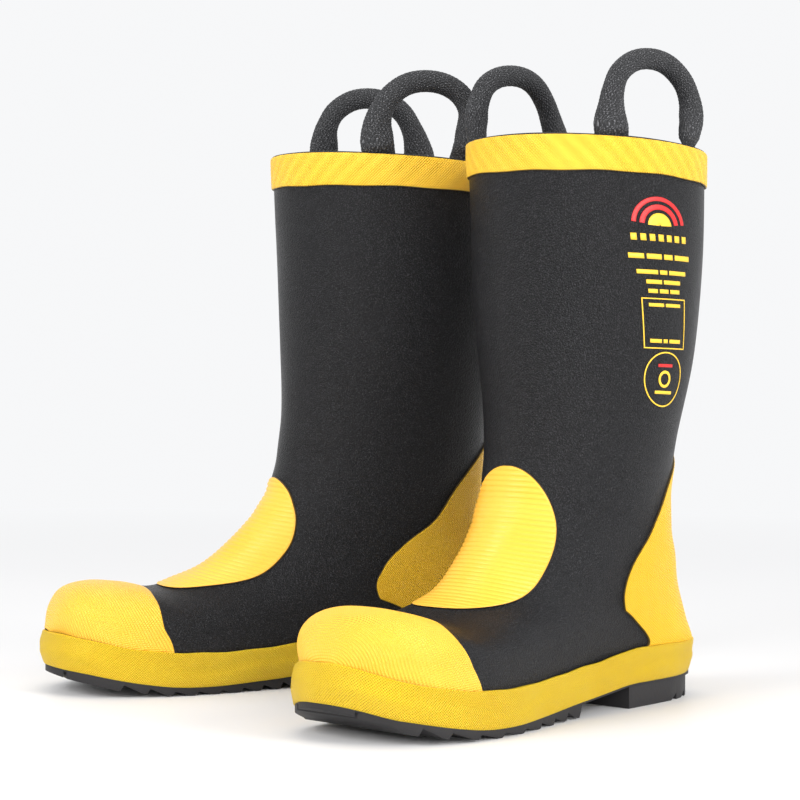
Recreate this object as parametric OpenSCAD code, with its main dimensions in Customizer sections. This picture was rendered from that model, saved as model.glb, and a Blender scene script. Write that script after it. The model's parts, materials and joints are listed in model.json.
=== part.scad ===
// A pair of rubber firefighting boots: hand-laid rubber upper with bonded yellow guards, a felt and
// fabric lining, steel toe caps, steel midsoles and two pull loops on each collar.
// Each boot is worked out in its own axes: x towards the outer side of the foot, y from the back of
// the heel towards the toe, z up. It is then turned and set down beside the other one.

/* [Stance] */
// Angle that each boot's toe is turned out, in degrees
toe_out = 13.6; // [0:0.2:20]
// Sideways distance between the two heels
heel_gap = 115; // [110:1:160]
// Distance that the left boot is set back behind the right one
left_set_back = 37; // [0:1:60]

/* [Upper] */
// Thickness of the rubber upper
rubber_t = 2.6; // [2:0.1:3]
// Thickness of the felt insulation
felt_t = 2.2; // [1.5:0.1:2.2]
// Thickness of the fabric lining
lining_t = 1; // [0.6:0.1:1.2]
// Height of the yellow band round the collar
band_h = 20.4; // [12:0.4:30]
// Thickness of the yellow band round the collar
band_t = 2.2; // [1:0.1:3]
// Thickness of the bonded shin guard and heel counter
guard_t = 1.6; // [1:0.1:2.4]

/* [Toe] */
// Thickness of the steel toe cap
steel_cap_t = 1.5; // [1.2:0.1:1.5]
// Height that the yellow toe cover stands proud of the upper
toe_cover_proud = 0.6; // [0.3:0.1:1]

/* [Sole] */
// Height of the yellow foxing band round the sole
foxing_h = 20.6; // [18:0.2:22]
// Thickness of the foxing band
foxing_t = 1.9; // [1.4:0.1:1.9]
// How far the top of the foxing leans out over its height
foxing_flare = 2.1; // [1:0.1:2.5]
// Length of the heel block
heel_len = 92; // [84:1:96]
// Distance from one tread lug to the next
lug_pitch = 16; // [12:0.5:18]
// Width of the flat that each lug stands on
lug_flat = 6; // [4:0.5:8]

/* [Pull loops] */
// Diameter of the woven sleeve at the top of a loop
loop_d = 12.6; // [12:0.2:15]
// Width that the sleeve is pressed to at its two feet
loop_foot_w = 20; // [15:0.5:20]
// Thickness that the sleeve is pressed to at its two feet
loop_foot_t = 10.4; // [8:0.2:11]
// Thickness of the sleeve's woven wall
loop_wall = 2.4; // [1.5:0.1:3]
// Height of each loop's hinge line
loop_hinge_z = 340; // [340:0.5:345]

/* [Hidden] */
BOOT_PARTS = ["leg_shell", "vamp", "felt_insulation", "lining", "collar_band", "collar_binding",
    "toe_cover", "steel_toe_cap", "toe_cap_edge_strip", "shin_guard", "heel_counter", "leg_print",
    "foxing_band", "outsole", "heel_block", "steel_midsole", "steel_shank", "insole_board", "footbed",
    "outer_loop_sleeve", "outer_loop_core", "outer_loop_tails",
    "inner_loop_sleeve", "inner_loop_core", "inner_loop_tails"];

yellow = [0.98, 0.84, 0.20];
black = [0.16, 0.16, 0.17];
steel = [0.72, 0.73, 0.75];

// Stations up the leg, over the instep and out to the toe. Each is a slanted cut through the boot:
// front y and z, back y and z, outer half width low and high, inner half width low and high.
STATIONS = [
    [162, 334, 11, 328, 67.4, 67.4, 66.6, 66.6],
    [159, 268, 9.5, 266, 65, 65.4, 64.2, 64.6],
    [156.5, 212, 12, 210, 58.5, 60.5, 58, 60],
    [156, 165, 20.5, 158, 50, 53, 49.4, 52.4],
    [162, 129, 21.5, 113, 43.5, 48.6, 42.6, 47.6],
    [174, 107, 11.5, 78, 40, 47, 38.6, 45.6],
    [190, 89, 4, 46, 37, 46, 36, 44.6],
    [207.5, 75, 12, 26, 36.5, 46.5, 33.5, 44.2],
    [225, 67, 95, 23, 39.5, 48.5, 31.5, 44.5],
    [242, 62, 172, 16.5, 47, 49.5, 42, 47],
    [261, 65.5, 226, 13.5, 53, 46.5, 50.5, 47],
    [281.5, 67.5, 262, 18, 48.5, 38.5, 49.5, 42.5],
    [297.5, 63.5, 284, 23, 34.5, 28.5, 40.5, 35],
    [306, 52.5, 298, 28, 19, 16, 27, 24],
    [309.5, 38, 306, 32.5, 3, 3, 8, 8]];
last_station = len(STATIONS) - 1;
// Stations at which the upper and its linings have a row of points
leg_rows = [0, 1, 2, 3, 3.5, 4, 4.6];
foot_rows = [4.6, 5.2, 5.8, 6.4, 7, 7.6, 8.3, 9, 9.6, 10.3, 11, 11.7, 12.4];
binding_rise = 0.03;
tip_per_mm = 0.155;
around = 30;

// Outline of the outsole, seen from above, from the back of the heel round the outer side
OUTLINE = [[0, 0], [25, 10], [36.5, 38], [40, 92], [43.5, 155], [53, 214], [51, 259], [32.5, 293],
    [-6, 310], [-39, 293.5], [-51, 256], [-48.5, 213], [-36, 155], [-34, 92], [-35.5, 38], [-25, 10]];
outline_steps = 3;
// Height of the foxing's lower edge along the boot, which gives the heel and the toe spring
SOLE_LINE = [[-10, 14.4], [92, 14.4], [128, 10.4], [170, 6.6], [215, 4.6], [240, 5.2], [265, 8.6],
    [290, 13.6], [318, 20]];
// Height of the ground side of the forepart tread
TREAD_LINE = [[150, 1], [165, 0], [238, 0], [266, 3], [284, 5.4], [297, 9], [306, 13.2], [318, 17]];
tread_start = 156;
tread_end = 304;
toe_slot_w = 1.6;
sole_edge_t = 1.2;
outsole_inner_h = 3.2;
ply_gap = 0.1;
midsole_t = 0.8;
shank_t = 1.4;
board_t = 1.5;
board_inset = 5;
heel_notch_pitch = 15;
heel_notch_depth = 5;
// Underside of the footbed along the boot
FOOTBED_LINE = [[20, 34.5], [95, 30.5], [172, 25.6], [226, 23.6], [255, 27.5], [276, 32.5]];
footbed_t = 4.5;
footbed_inset = 18;

// Rear edge of the toe cover: the angle from the top centre line and the station
COVER_EDGE = [[0, 8.9], [20, 9.1], [35, 9.45], [50, 9.8], [70, 9.97], [85, 10.07], [130, 10.25]];
cover_sink = 1.5;
cover_half_cols = 10;
cover_rows = [9, 9.6, 10.3];
nose_rows = [11, 11.7, 12.4];
edge_step = 0.03;
steel_cap_setback = 0.28;
cap_strip_rows = [-0.4, 0.15];
// Edge of the heel counter: the station and the angle from the front
COUNTER_EDGE = [[2.97, 172], [3.1, 156], [3.4, 134], [3.75, 122], [4.1, 111], [4.5, 102], [5, 93],
    [5.4, 88], [5.8, 86], [6.2, 87.5], [6.7, 92], [7, 98], [7.35, 107]];
counter_rows = [2.97, 3.1, 3.25, 3.5, 4, 4.6, 5.2, 5.8, 6.4];
counter_cols = 16;
counter_bottom_back = 6.42;
counter_bottom_side = 6.98;
counter_gap = 0.75;
// The shin guard is an oval in stations and angle. Laid by hand, it sits higher on the left boot.
LEFT_SHIN = [3.54, 8.08];
RIGHT_SHIN = [3.97, 8.72];
shin_half_angle = 44;
shin_gap = 0.4;
skin_gap = 0.35;
hidden_gap = 0.75;
strip_gap = 0.9;
// The print runs down the outer side of the leg
print_t = 0.3;
print_top = 0.6;
print_bottom = 2.95;
print_half_angle = 15;

// Middle of the collar, and the half widths of the pocket between its rubber and its lining
collar_mid_y = 86.5;
pocket_half_y = 71.6;
pocket_half_x = 63.4;
tail_half_angle = 8;
tail_bottom = 0.66;
// Each pull loop: the angles of its front and rear foot round the collar, from the front, and its
// centre line over the hinge line, along the line from the middle of its feet and up
LEFT_OUTER = [54, 106, [[34, 0], [32.8, 9], [30.6, 19], [24.5, 30.2], [12, 38.4], [-3, 41], [-17, 38.3],
    [-28.5, 29.5], [-33.3, 18], [-33.4, 8], [-31, 0]]];
LEFT_INNER = [61, 120, [[36.6, 0], [38.4, 8], [38.4, 18], [33.5, 29.5], [23.7, 36.2], [10.3, 39.4],
    [-4, 39], [-16, 34.6], [-26, 26], [-33, 16.5], [-38, 8], [-40, 0]]];
RIGHT_OUTER = [72, 123, [[32, 0], [32, 10], [30.5, 20.5], [25, 31], [14, 38.6], [1, 40.7], [-12, 38],
    [-22, 31], [-29, 19.5], [-32.6, 9], [-34.4, 0]]];
RIGHT_INNER = [67, 111, [[29, 0], [28.3, 11], [25.3, 20], [19, 29.3], [8.5, 36.7], [-4, 39.6],
    [-17, 38.2], [-27.5, 32.2], [-33.2, 22.5], [-33.6, 11], [-31.6, 0]]];
loop_rise = 40;
loop_lean_in = 4;
loop_sides = 8;
loop_end_turns = [0.2, 0.65];

// ---- curves ----

function hermite(a, b, c, d, f) =
    0.5 * (2 * b + (c - a) * f + (2 * a - 5 * b + 4 * c - d) * f * f
        + (3 * b - a - 3 * c + d) * f * f * f);
function curve_at(pts, t) =
    let (n = len(pts) - 1, i = min(max(floor(t), 0), n - 1))
    hermite(pts[max(i - 1, 0)], pts[i], pts[i + 1], pts[min(i + 2, n)], t - i);
function closed_curve(pts, steps) =
    let (n = len(pts))
    [for (i = [0:n - 1]) for (k = [0:steps - 1])
        hermite(pts[(i + n - 1) % n], pts[i], pts[(i + 1) % n], pts[(i + 2) % n], k / steps)];
function ease(a, b, x) = let (t = min(max((x - a) / (b - a), 0), 1)) t * t * (3 - 2 * t);
function unit(v) = v / norm(v);
function power(v, e) = sign(v) * pow(abs(v), e);

// ---- the boot's outer surface and the layers under it ----

// Point at station s and angle phi (0 top or front, 90 outer side, 180 bottom or back), moved
// outwards by d within the slanted cut
function raw_point(s, phi, d) =
    let (
        st = curve_at(STATIONS, s),
        front = [st[0], st[1]],
        back = [st[2], st[3]],
        half = norm(front - back) / 2,
        e = cos(phi) >= 0 ? 2 / (2.05 + 0.45 * ease(5, 9, s)) : 2 / (2.05 + 2.6 * ease(5.2, 8, s)),
        c = power(cos(phi), e),
        w = power(sin(phi), e),
        high = (c + 1) / 2,
        wide = sin(phi) >= 0 ? st[4] + (st[5] - st[4]) * high : st[6] + (st[7] - st[6]) * high,
        yz = (front + back) / 2 + unit(front - back) * (half + d) * c)
    [(wide + d) * w, yz[0], yz[1]];
// The layers under the toe cover lie deeper by the depth that the cover is let in
function let_in(y) = cover_sink * ease(219, 237, y);
function layer_point(s, phi, d) = raw_point(s, phi, d - let_in(raw_point(s, phi, 0)[1]));
// The last rows before the tip of a layer that lies at a depth under the outer surface
function tip_rows(depth) =
    let (s1 = last_station - tip_per_mm * max(depth, 0), s0 = foot_rows[len(foot_rows) - 1])
    [(s0 + s1) / 2, s1];
function rows_to_tip(d) = concat(foot_rows, tip_rows(cover_sink - d));
function angles(n) = [for (j = [0:n - 1]) 360 * j / n];

// ---- closed skins from two grids of points ----

function flat_list(grid) = [for (row = grid) for (p = row) p];
function quad(a, b, c, d) = [[a, c, b], [a, d, c]];
function tris(list) = [for (pair = list) for (t = pair) t];
// A tube: both grids wrap round. capped closes its far end.
module skin_tube(outer, inner, capped = false) {
    n = len(outer);
    m = len(outer[0]);
    o = n * m;
    walls = [for (i = [0:n - 2]) for (j = [0:m - 1]) let (k = (j + 1) % m)
        quad(i * m + j, i * m + k, (i + 1) * m + k, (i + 1) * m + j)];
    linings = [for (i = [0:n - 2]) for (j = [0:m - 1]) let (k = (j + 1) % m)
        quad(o + i * m + j, o + (i + 1) * m + j, o + (i + 1) * m + k, o + i * m + k)];
    near_end = [for (j = [0:m - 1]) let (k = (j + 1) % m) quad(j, o + j, o + k, k)];
    e = (n - 1) * m;
    far_end = [for (j = [0:m - 1]) let (k = (j + 1) % m) quad(e + j, e + k, o + e + k, o + e + j)];
    far_caps = [[for (j = [m - 1:-1:0]) e + j], [for (j = [0:m - 1]) o + e + j]];
    faces = concat(tris(walls), tris(linings), tris(near_end), capped ? far_caps : tris(far_end));
    polyhedron(concat(flat_list(outer), flat_list(inner)), faces, convexity = 8);
}
// A patch: both grids have four free edges
module skin_patch(outer, inner) {
    n = len(outer);
    m = len(outer[0]);
    o = n * m;
    e = (n - 1) * m;
    tops = [for (i = [0:n - 2]) for (j = [0:m - 2])
        quad(i * m + j, i * m + j + 1, (i + 1) * m + j + 1, (i + 1) * m + j)];
    unders = [for (i = [0:n - 2]) for (j = [0:m - 2])
        quad(o + i * m + j, o + (i + 1) * m + j, o + (i + 1) * m + j + 1, o + i * m + j + 1)];
    near_edge = [for (j = [0:m - 2]) quad(j, o + j, o + j + 1, j + 1)];
    far_edge = [for (j = [0:m - 2]) quad(e + j, e + j + 1, o + e + j + 1, o + e + j)];
    first_side = [for (i = [0:n - 2])
        quad(i * m, (i + 1) * m, o + (i + 1) * m, o + i * m)];
    last_side = [for (i = [0:n - 2]) let (j = m - 1)
        quad(i * m + j, o + i * m + j, o + (i + 1) * m + j, (i + 1) * m + j)];
    faces = concat(tris(tops), tris(unders), tris(near_edge), tris(far_edge), tris(first_side),
        tris(last_side));
    polyhedron(concat(flat_list(outer), flat_list(inner)), faces, convexity = 8);
}
// A solid of revolution-like section swept round a closed row of sections
module swept_ring(sections) {
    n = len(sections);
    m = len(sections[0]);
    faces = [for (i = [0:n - 1]) for (j = [0:m - 1]) let (a = (i + 1) % n, k = (j + 1) % m)
        quad(i * m + j, i * m + k, a * m + k, a * m + j)];
    polyhedron(flat_list(sections), tris(faces), convexity = 8);
}
// A closed solid from rings of points, capped at both ends
module lofted(rings) {
    n = len(rings);
    m = len(rings[0]);
    sides = [for (i = [0:n - 2]) for (j = [0:m - 1]) let (k = (j + 1) % m)
        quad(i * m + j, i * m + k, (i + 1) * m + k, (i + 1) * m + j)];
    ends = [[for (j = [0:m - 1]) j], [for (j = [m - 1:-1:0]) (n - 1) * m + j]];
    polyhedron(flat_list(rings), concat(tris(sides), ends), convexity = 8);
}

// A layer of the upper through a list of stations
function layer_grid(rows, d) = [for (s = rows) [for (phi = angles(around)) layer_point(s, phi, d)]];
module layer_tube(rows, d_out, d_in) {
    skin_tube(layer_grid(rows, d_out), layer_grid(rows, d_in));
}

// ---- upper ----

module leg_shell() {
    color(black) layer_tube(leg_rows, 0, -rubber_t);
}
module vamp() {
    outer = layer_grid(rows_to_tip(0), 0);
    inner = layer_grid(rows_to_tip(-rubber_t), -rubber_t);
    color(black) skin_tube(outer, inner, capped = true);
}
felt_d = -rubber_t - ply_gap;
lining_d = felt_d - felt_t - ply_gap;
inside_d = lining_d - lining_t;
module felt_insulation() {
    leg = [for (s = leg_rows) if (s > 0) s];
    felt_rows = concat(leg, [for (s = foot_rows) if (s > 4.6 && s < 9) s]);
    color([0.55, 0.54, 0.50]) layer_tube(felt_rows, felt_d, felt_d - felt_t);
}
module lining() {
    leg = [for (s = concat([-binding_rise], leg_rows)) if (s != 4.6) s];
    outer = layer_grid(concat(leg, rows_to_tip(lining_d)), lining_d);
    inner = layer_grid(concat(leg, rows_to_tip(inside_d)), inside_d);
    color([0.30, 0.31, 0.33]) skin_tube(outer, inner, capped = true);
}
station_per_mm = 1 / (STATIONS[0][1] - STATIONS[1][1]);
module collar_band() {
    band_rows = [0, band_h * station_per_mm];
    color(yellow) layer_tube(band_rows, band_t + ply_gap, ply_gap);
}
module collar_binding() {
    color(black) layer_tube([-binding_rise, -ply_gap * station_per_mm], 0, -rubber_t);
}

// ---- toe ----

// Angles across a cap, which are the same ones that the upper's rows use
cap_angles = [for (j = [-cover_half_cols:cover_half_cols]) 360 * j / around];
// A cap over the toe from its rear edge to the tip. Its last row is drawn in to close its nose.
function cap_grid(setback, d) =
    let (
        edge = [for (k = [0:len(cover_rows)]) [for (phi = cap_angles)
            let (s = lookup(abs(phi), COVER_EDGE) + setback + k * edge_step)
            raw_point(k == 0 ? s : max(s, cover_rows[k - 1]), phi, d)]],
        rows = [for (s = concat(nose_rows, tip_rows(-d))) [for (phi = cap_angles) raw_point(s, phi, d)]],
        last = rows[len(rows) - 1],
        nose = (last[0] + last[len(last) - 1]) / 2)
    concat(edge, rows, [[for (p = last) nose + (p - nose) * 0.08 + [0, 0.02, 0]]]);
module toe_cap_skin(setback, d_out, d_in) {
    skin_patch(cap_grid(setback, d_out), cap_grid(setback, d_in));
}
module toe_cover() {
    color(yellow) toe_cap_skin(0, toe_cover_proud, skin_gap - cover_sink);
}
steel_d = -cover_sink - rubber_t - skin_gap - ply_gap;
module steel_toe_cap() {
    color(steel) toe_cap_skin(steel_cap_setback, steel_d, steel_d - steel_cap_t);
}
// A soft strip behind the steel cap's rear edge
function strip_grid(d) =
    [for (k = cap_strip_rows)
        [for (phi = cap_angles) layer_point(lookup(abs(phi), COVER_EDGE) + k, phi, d)]];
module toe_cap_edge_strip() {
    color([0.2, 0.2, 0.2])
        skin_patch(strip_grid(felt_d - strip_gap), strip_grid(lining_d + hidden_gap));
}

// ---- guards ----

shin_rows = 14;
shin_cols = 9;
function shin_grid(ends, d) =
    [for (i = [0:shin_rows])
        let (
            u = -cos(180 * i / shin_rows) * 0.995,
            s = (ends[0] + ends[1] + (ends[1] - ends[0]) * u) / 2,
            half = shin_half_angle * sqrt(1 - pow(abs(u), 2.6)))
        [for (j = [0:shin_cols])
            raw_point(s, half * (2 * j / shin_cols - 1), d)]];
module shin_guard(ends) {
    color(yellow) skin_patch(shin_grid(ends, shin_gap + guard_t), shin_grid(ends, shin_gap));
}
function counter_row(s, sag, d) =
    [for (j = [0:counter_cols])
        let (q = 2 * j / counter_cols - 1, sj = s + sag * q * q)
        raw_point(sj, 180 + q * (180 - lookup(sj, COUNTER_EDGE)), d)];
function counter_grid(d) =
    concat([for (s = counter_rows) counter_row(s, 0, d)],
        [counter_row(counter_bottom_back, counter_bottom_side - counter_bottom_back, d)]);
module heel_counter() {
    color(yellow) skin_patch(counter_grid(counter_gap + guard_t), counter_grid(counter_gap));
}
print_rows = 6;
print_cols = 4;
function print_grid(d) =
    [for (i = [0:print_rows])
        let (
            s = print_top + (print_bottom - print_top) * i / print_rows,
            mid = 72 + 8 * s)
        [for (j = [0:print_cols]) raw_point(s, mid + print_half_angle * (2 * j / print_cols - 1), d)]];
module leg_print() {
    color([0.85, 0.70, 0.25]) skin_patch(print_grid(skin_gap + print_t), print_grid(skin_gap));
}

// ---- sole ----

function outline_points() = closed_curve(OUTLINE, outline_steps);
function outward(pts, i) =
    let (n = len(pts), t = unit(pts[(i + 1) % n] - pts[(i + n - 1) % n]))
    [t[1], -t[0]];
function moved_outline(d) =
    let (pts = outline_points())
    [for (i = [0:len(pts) - 1]) pts[i] + outward(pts, i) * d];
function sole_z(y) = lookup(y, SOLE_LINE);

module foxing_band() {
    pts = outline_points();
    low_out = 0.6;
    low_in = low_out - foxing_t;
    sections = [for (i = [0:len(pts) - 1])
        let (n = outward(pts, i), z = sole_z(pts[i][1]), p = pts[i],
            a = p + n * low_in,
            b = p + n * low_out,
            c = p + n * (low_out + foxing_flare),
            e = p + n * (low_in + foxing_flare))
        [[e[0], e[1], z + foxing_h], [c[0], c[1], z + foxing_h], [b[0], b[1], z], [a[0], a[1], z]]];
    color(yellow) swept_ring(sections);
}
// A slab between two heights above the foxing's lower edge, seen from the side
function knots(y0, y1) = concat([y0], [for (k = SOLE_LINE) if (k[0] > y0 && k[0] < y1) k[0]], [y1]);
module side_slab(y0, y1, low, high) {
    ys = knots(y0, y1);
    top = [for (y = ys) [y, sole_z(y) + high]];
    bottom = [for (i = [len(ys) - 1:-1:0]) [ys[i], sole_z(ys[i]) + low]];
    across_foot() polygon(concat(top, bottom));
}
// Turns a side view, drawn as y and z, into a bar across the whole foot
module across_foot(width = 140) {
    rotate([90, 0, 90]) translate([0, 0, -width / 2]) linear_extrude(width) children();
}
module within_outline(d) {
    intersection() {
        children();
        linear_extrude(60) polygon(moved_outline(d));
    }
}
function tread_z(y) = lookup(y, TREAD_LINE);
// One lug: a steep face towards the heel, a flat, and a slope up towards the toe. The front lug is
// longer, and a narrow slot parts it from the tip of the toe.
function lug(y) = [[y, sole_z(y) - sole_edge_t], [y, tread_z(y)], [y + lug_flat, tread_z(y + lug_flat)]];
function tread_edge() = [for (y = [tread_start:lug_pitch:tread_end - lug_pitch]) each lug(y)];
module outsole() {
    lip = 0.05;
    ys = knots(-6, 316);
    top = [for (i = [len(ys) - 1:-1:0]) [ys[i], sole_z(ys[i]) - lip]];
    waist = [for (y = knots(-6, tread_start - 1)) [y, sole_z(y) - sole_edge_t]];
    slot_z = sole_z(tread_end) - sole_edge_t;
    front = tread_end - toe_slot_w;
    toe = [[front, tread_z(front)], [front, slot_z], [tread_end, slot_z], [tread_end, tread_z(tread_end)],
        [316, tread_z(316)]];
    color(black) {
        within_outline(0) across_foot() polygon(concat(waist, tread_edge(), toe, top));
        within_outline(-2) side_slab(-6, 316, -2 * lip, outsole_inner_h);
    }
}
module heel_block() {
    top = sole_z(0) - sole_edge_t - ply_gap;
    color(black) difference() {
        within_outline(-0.3) across_foot() polygon([[-6, 0], [heel_len, 0], [heel_len, top], [-6, top]]);
        for (i = [0:2])
            translate([0, 8 + i * heel_notch_pitch, 0]) across_foot()
                polygon([[0, -1], [0, heel_notch_depth], [heel_notch_depth + 1, -1]]);
    }
}
midsole_low = outsole_inner_h + ply_gap;
module steel_midsole() {
    color(steel) within_outline(-board_inset) side_slab(3, 306, midsole_low, midsole_low + midsole_t);
}
shank_low = midsole_low + midsole_t + ply_gap;
module steel_shank() {
    color(steel) intersection() {
        side_slab(72, 168, shank_low, shank_low + shank_t);
        linear_extrude(60) translate([-7, 60]) square([14, 120]);
    }
}
board_low = shank_low + shank_t + ply_gap;
module insole_board() {
    color([0.68, 0.60, 0.46]) within_outline(-board_inset)
        side_slab(3, 306, board_low, board_low + board_t);
}
module footbed() {
    top = [for (k = FOOTBED_LINE) [k[0], k[1] + footbed_t]];
    bottom = [for (i = [len(FOOTBED_LINE) - 1:-1:0]) FOOTBED_LINE[i]];
    color([0.35, 0.38, 0.42]) within_outline(-footbed_inset) across_foot()
        polygon(concat(top, bottom));
}

// ---- pull loops ----

// A foot of a loop on the collar. side is 1 on the boot's outer side and -1 on its inner side.
function foot_at(side, angle) =
    [side * pocket_half_x * sin(angle), collar_mid_y + pocket_half_y * cos(angle), 0];
function loop_along(side, loop) = unit(foot_at(side, loop[0]) - foot_at(side, loop[1]));
function loop_outwards(side, loop) = let (a = loop_along(side, loop)) side * [a[1], -a[0], 0];
function loop_centre(side, loop) =
    let (mid = (foot_at(side, loop[0]) + foot_at(side, loop[1])) / 2)
    [for (p = loop[2])
        mid + loop_along(side, loop) * p[0]
            - loop_outwards(side, loop) * loop_lean_in * p[1] / loop_rise
            + [0, 0, loop_hinge_z + p[1]]];
// An oval ring across the sleeve. It is pressed flat at the feet and round at the top. inset makes
// the rings of the hollow inside it, and shrink those of its rounded ends.
function loop_ring(p, t, outwards, inset, shrink) =
    let (
        f = ease(0, 28, p[2] - loop_hinge_z),
        wide = (loop_foot_w + (loop_d - loop_foot_w) * f) / 2 - inset,
        deep = (loop_foot_t + (loop_d - loop_foot_t) * f) / 2 - inset,
        w = unit(cross(outwards, t)))
    [for (j = [0:loop_sides - 1])
        let (a = 360 * (j + 0.5) / loop_sides)
        p + (w * wide * cos(a) + outwards * deep * sin(a)) * shrink];
// The ends are rounded under the hinge line, so that the loop turns on it without touching the collar
function loop_end(p, t, outwards, inset) =
    [for (k = loop_end_turns)
        let (down = [0, 0, cos(90 * k) * (loop_foot_t / 2 - inset) * 0.8])
        [for (q = loop_ring(p, t, outwards, inset, sin(90 * k))) q - down]];
function loop_rings(side, loop, inset) =
    let (c = loop_centre(side, loop), n = len(c) - 1, out = loop_outwards(side, loop), up = [0, 0, 1])
    concat(
        loop_end(c[0], up, out, inset),
        [for (i = [0:n])
            loop_ring(c[i], unit(c[min(i + 1, n)] - c[max(i - 1, 0)]), out, inset, 1)],
        [for (i = [len(loop_end_turns) - 1:-1:0]) loop_end(c[n], -up, out, inset)[i]]);
module loop_sleeve(side, loop) {
    color(black) skin_tube(loop_rings(side, loop, 0), loop_rings(side, loop, loop_wall));
}
module loop_core(side, loop) {
    color([0.8, 0.78, 0.72]) lofted(loop_rings(side, loop, loop_wall + 2 * ply_gap));
}
// The sleeve's two flattened ends, bonded between the rubber and the lining
module loop_tails(side, loop) {
    color(black) for (middle = [loop[0], loop[1]]) {
        tail_rows = [0, tail_bottom / 2, tail_bottom];
        grids = [for (d = [felt_d - hidden_gap, lining_d + skin_gap])
            [for (s = tail_rows) [for (j = [-1:1])
                raw_point(s, side * (middle + tail_half_angle * j * side), d)]]];
        skin_patch(grids[0], grids[1]);
    }
}

// ---- the pair ----

// The origin is the middle of the pair's box, on the ground
right_heel = [-57.5, 132.7];
module on_right() {
    translate(right_heel) rotate(180 - toe_out) children();
}
module on_left() {
    translate([right_heel[0] + heel_gap, right_heel[1] + left_set_back]) mirror([1, 0, 0])
        rotate(180 - toe_out) children();
}
module boot_part(part, shin, outer_loop, inner_loop) {
    if (part == "leg_shell") leg_shell();
    if (part == "vamp") vamp();
    if (part == "felt_insulation") felt_insulation();
    if (part == "lining") lining();
    if (part == "collar_band") collar_band();
    if (part == "collar_binding") collar_binding();
    if (part == "toe_cover") toe_cover();
    if (part == "steel_toe_cap") steel_toe_cap();
    if (part == "toe_cap_edge_strip") toe_cap_edge_strip();
    if (part == "shin_guard") shin_guard(shin);
    if (part == "heel_counter") heel_counter();
    if (part == "leg_print") leg_print();
    if (part == "foxing_band") foxing_band();
    if (part == "outsole") outsole();
    if (part == "heel_block") heel_block();
    if (part == "steel_midsole") steel_midsole();
    if (part == "steel_shank") steel_shank();
    if (part == "insole_board") insole_board();
    if (part == "footbed") footbed();
    if (part == "outer_loop_sleeve") loop_sleeve(1, outer_loop);
    if (part == "outer_loop_core") loop_core(1, outer_loop);
    if (part == "outer_loop_tails") loop_tails(1, outer_loop);
    if (part == "inner_loop_sleeve") loop_sleeve(-1, inner_loop);
    if (part == "inner_loop_core") loop_core(-1, inner_loop);
    if (part == "inner_loop_tails") loop_tails(-1, inner_loop);
}
for (part = BOOT_PARTS) {
    on_left() boot_part(part, LEFT_SHIN, LEFT_OUTER, LEFT_INNER);
    on_right() boot_part(part, RIGHT_SHIN, RIGHT_OUTER, RIGHT_INNER);
}
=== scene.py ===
"""Looks of a pair of rubber firefighting boots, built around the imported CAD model.

Each boot is worked out in its own axes, in millimetres: x towards the outer side of the foot, y from the
back of the heel towards the toe, z up. place() then turns it and sets it down in the row frame, in metres.
"""
import json
import math

import bmesh
import bpy
import numpy as np
from mathutils import Matrix, Vector
from mathutils.kdtree import KDTree


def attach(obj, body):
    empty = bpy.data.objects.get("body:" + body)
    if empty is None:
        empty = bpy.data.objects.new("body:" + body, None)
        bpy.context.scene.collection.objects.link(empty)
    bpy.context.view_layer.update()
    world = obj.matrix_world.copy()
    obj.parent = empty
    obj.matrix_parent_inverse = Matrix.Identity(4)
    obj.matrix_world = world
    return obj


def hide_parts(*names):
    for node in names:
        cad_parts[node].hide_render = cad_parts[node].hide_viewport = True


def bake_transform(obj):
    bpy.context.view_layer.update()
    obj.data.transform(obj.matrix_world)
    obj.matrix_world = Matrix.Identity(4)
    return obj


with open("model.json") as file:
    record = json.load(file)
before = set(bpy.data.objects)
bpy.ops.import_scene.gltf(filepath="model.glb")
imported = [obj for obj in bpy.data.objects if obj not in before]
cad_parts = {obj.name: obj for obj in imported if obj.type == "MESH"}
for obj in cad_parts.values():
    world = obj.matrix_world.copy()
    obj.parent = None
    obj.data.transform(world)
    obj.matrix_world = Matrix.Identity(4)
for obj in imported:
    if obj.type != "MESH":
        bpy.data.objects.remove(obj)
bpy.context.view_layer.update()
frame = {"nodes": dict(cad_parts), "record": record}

# ---- driving sizes ----

MM = 0.001
SIDES = ("left", "right")
TOE_OUT = math.radians(13.6)
HEELS = {"left": (57.5, 169.7), "right": (-57.5, 132.7)}

# Stations up the leg, over the instep and out to the toe, each a slanted cut through the boot:
# front y and z, back y and z, outer half width low and high, inner half width low and high
STATIONS = np.array([
    [162, 334, 11, 328, 67.4, 67.4, 66.6, 66.6],
    [159, 268, 9.5, 266, 65, 65.4, 64.2, 64.6],
    [156.5, 212, 12, 210, 58.5, 60.5, 58, 60],
    [156, 165, 20.5, 158, 50, 53, 49.4, 52.4],
    [162, 129, 21.5, 113, 43.5, 48.6, 42.6, 47.6],
    [174, 107, 11.5, 78, 40, 47, 38.6, 45.6],
    [190, 89, 4, 46, 37, 46, 36, 44.6],
    [207.5, 75, 12, 26, 36.5, 46.5, 33.5, 44.2],
    [225, 67, 95, 23, 39.5, 48.5, 31.5, 44.5],
    [242, 62, 172, 16.5, 47, 49.5, 42, 47],
    [261, 65.5, 226, 13.5, 53, 46.5, 50.5, 47],
    [281.5, 67.5, 262, 18, 48.5, 38.5, 49.5, 42.5],
    [297.5, 63.5, 284, 23, 34.5, 28.5, 40.5, 35],
    [306, 52.5, 298, 28, 19, 16, 27, 24],
    [309.5, 38, 306, 32.5, 3, 3, 8, 8]], float)
TIP = len(STATIONS) - 1.02
RUBBER_T = 2.3
LINING_D = -5.0
LINING_T = 1.0
BAND_H = 20.4
BAND_T = 2.2

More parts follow.
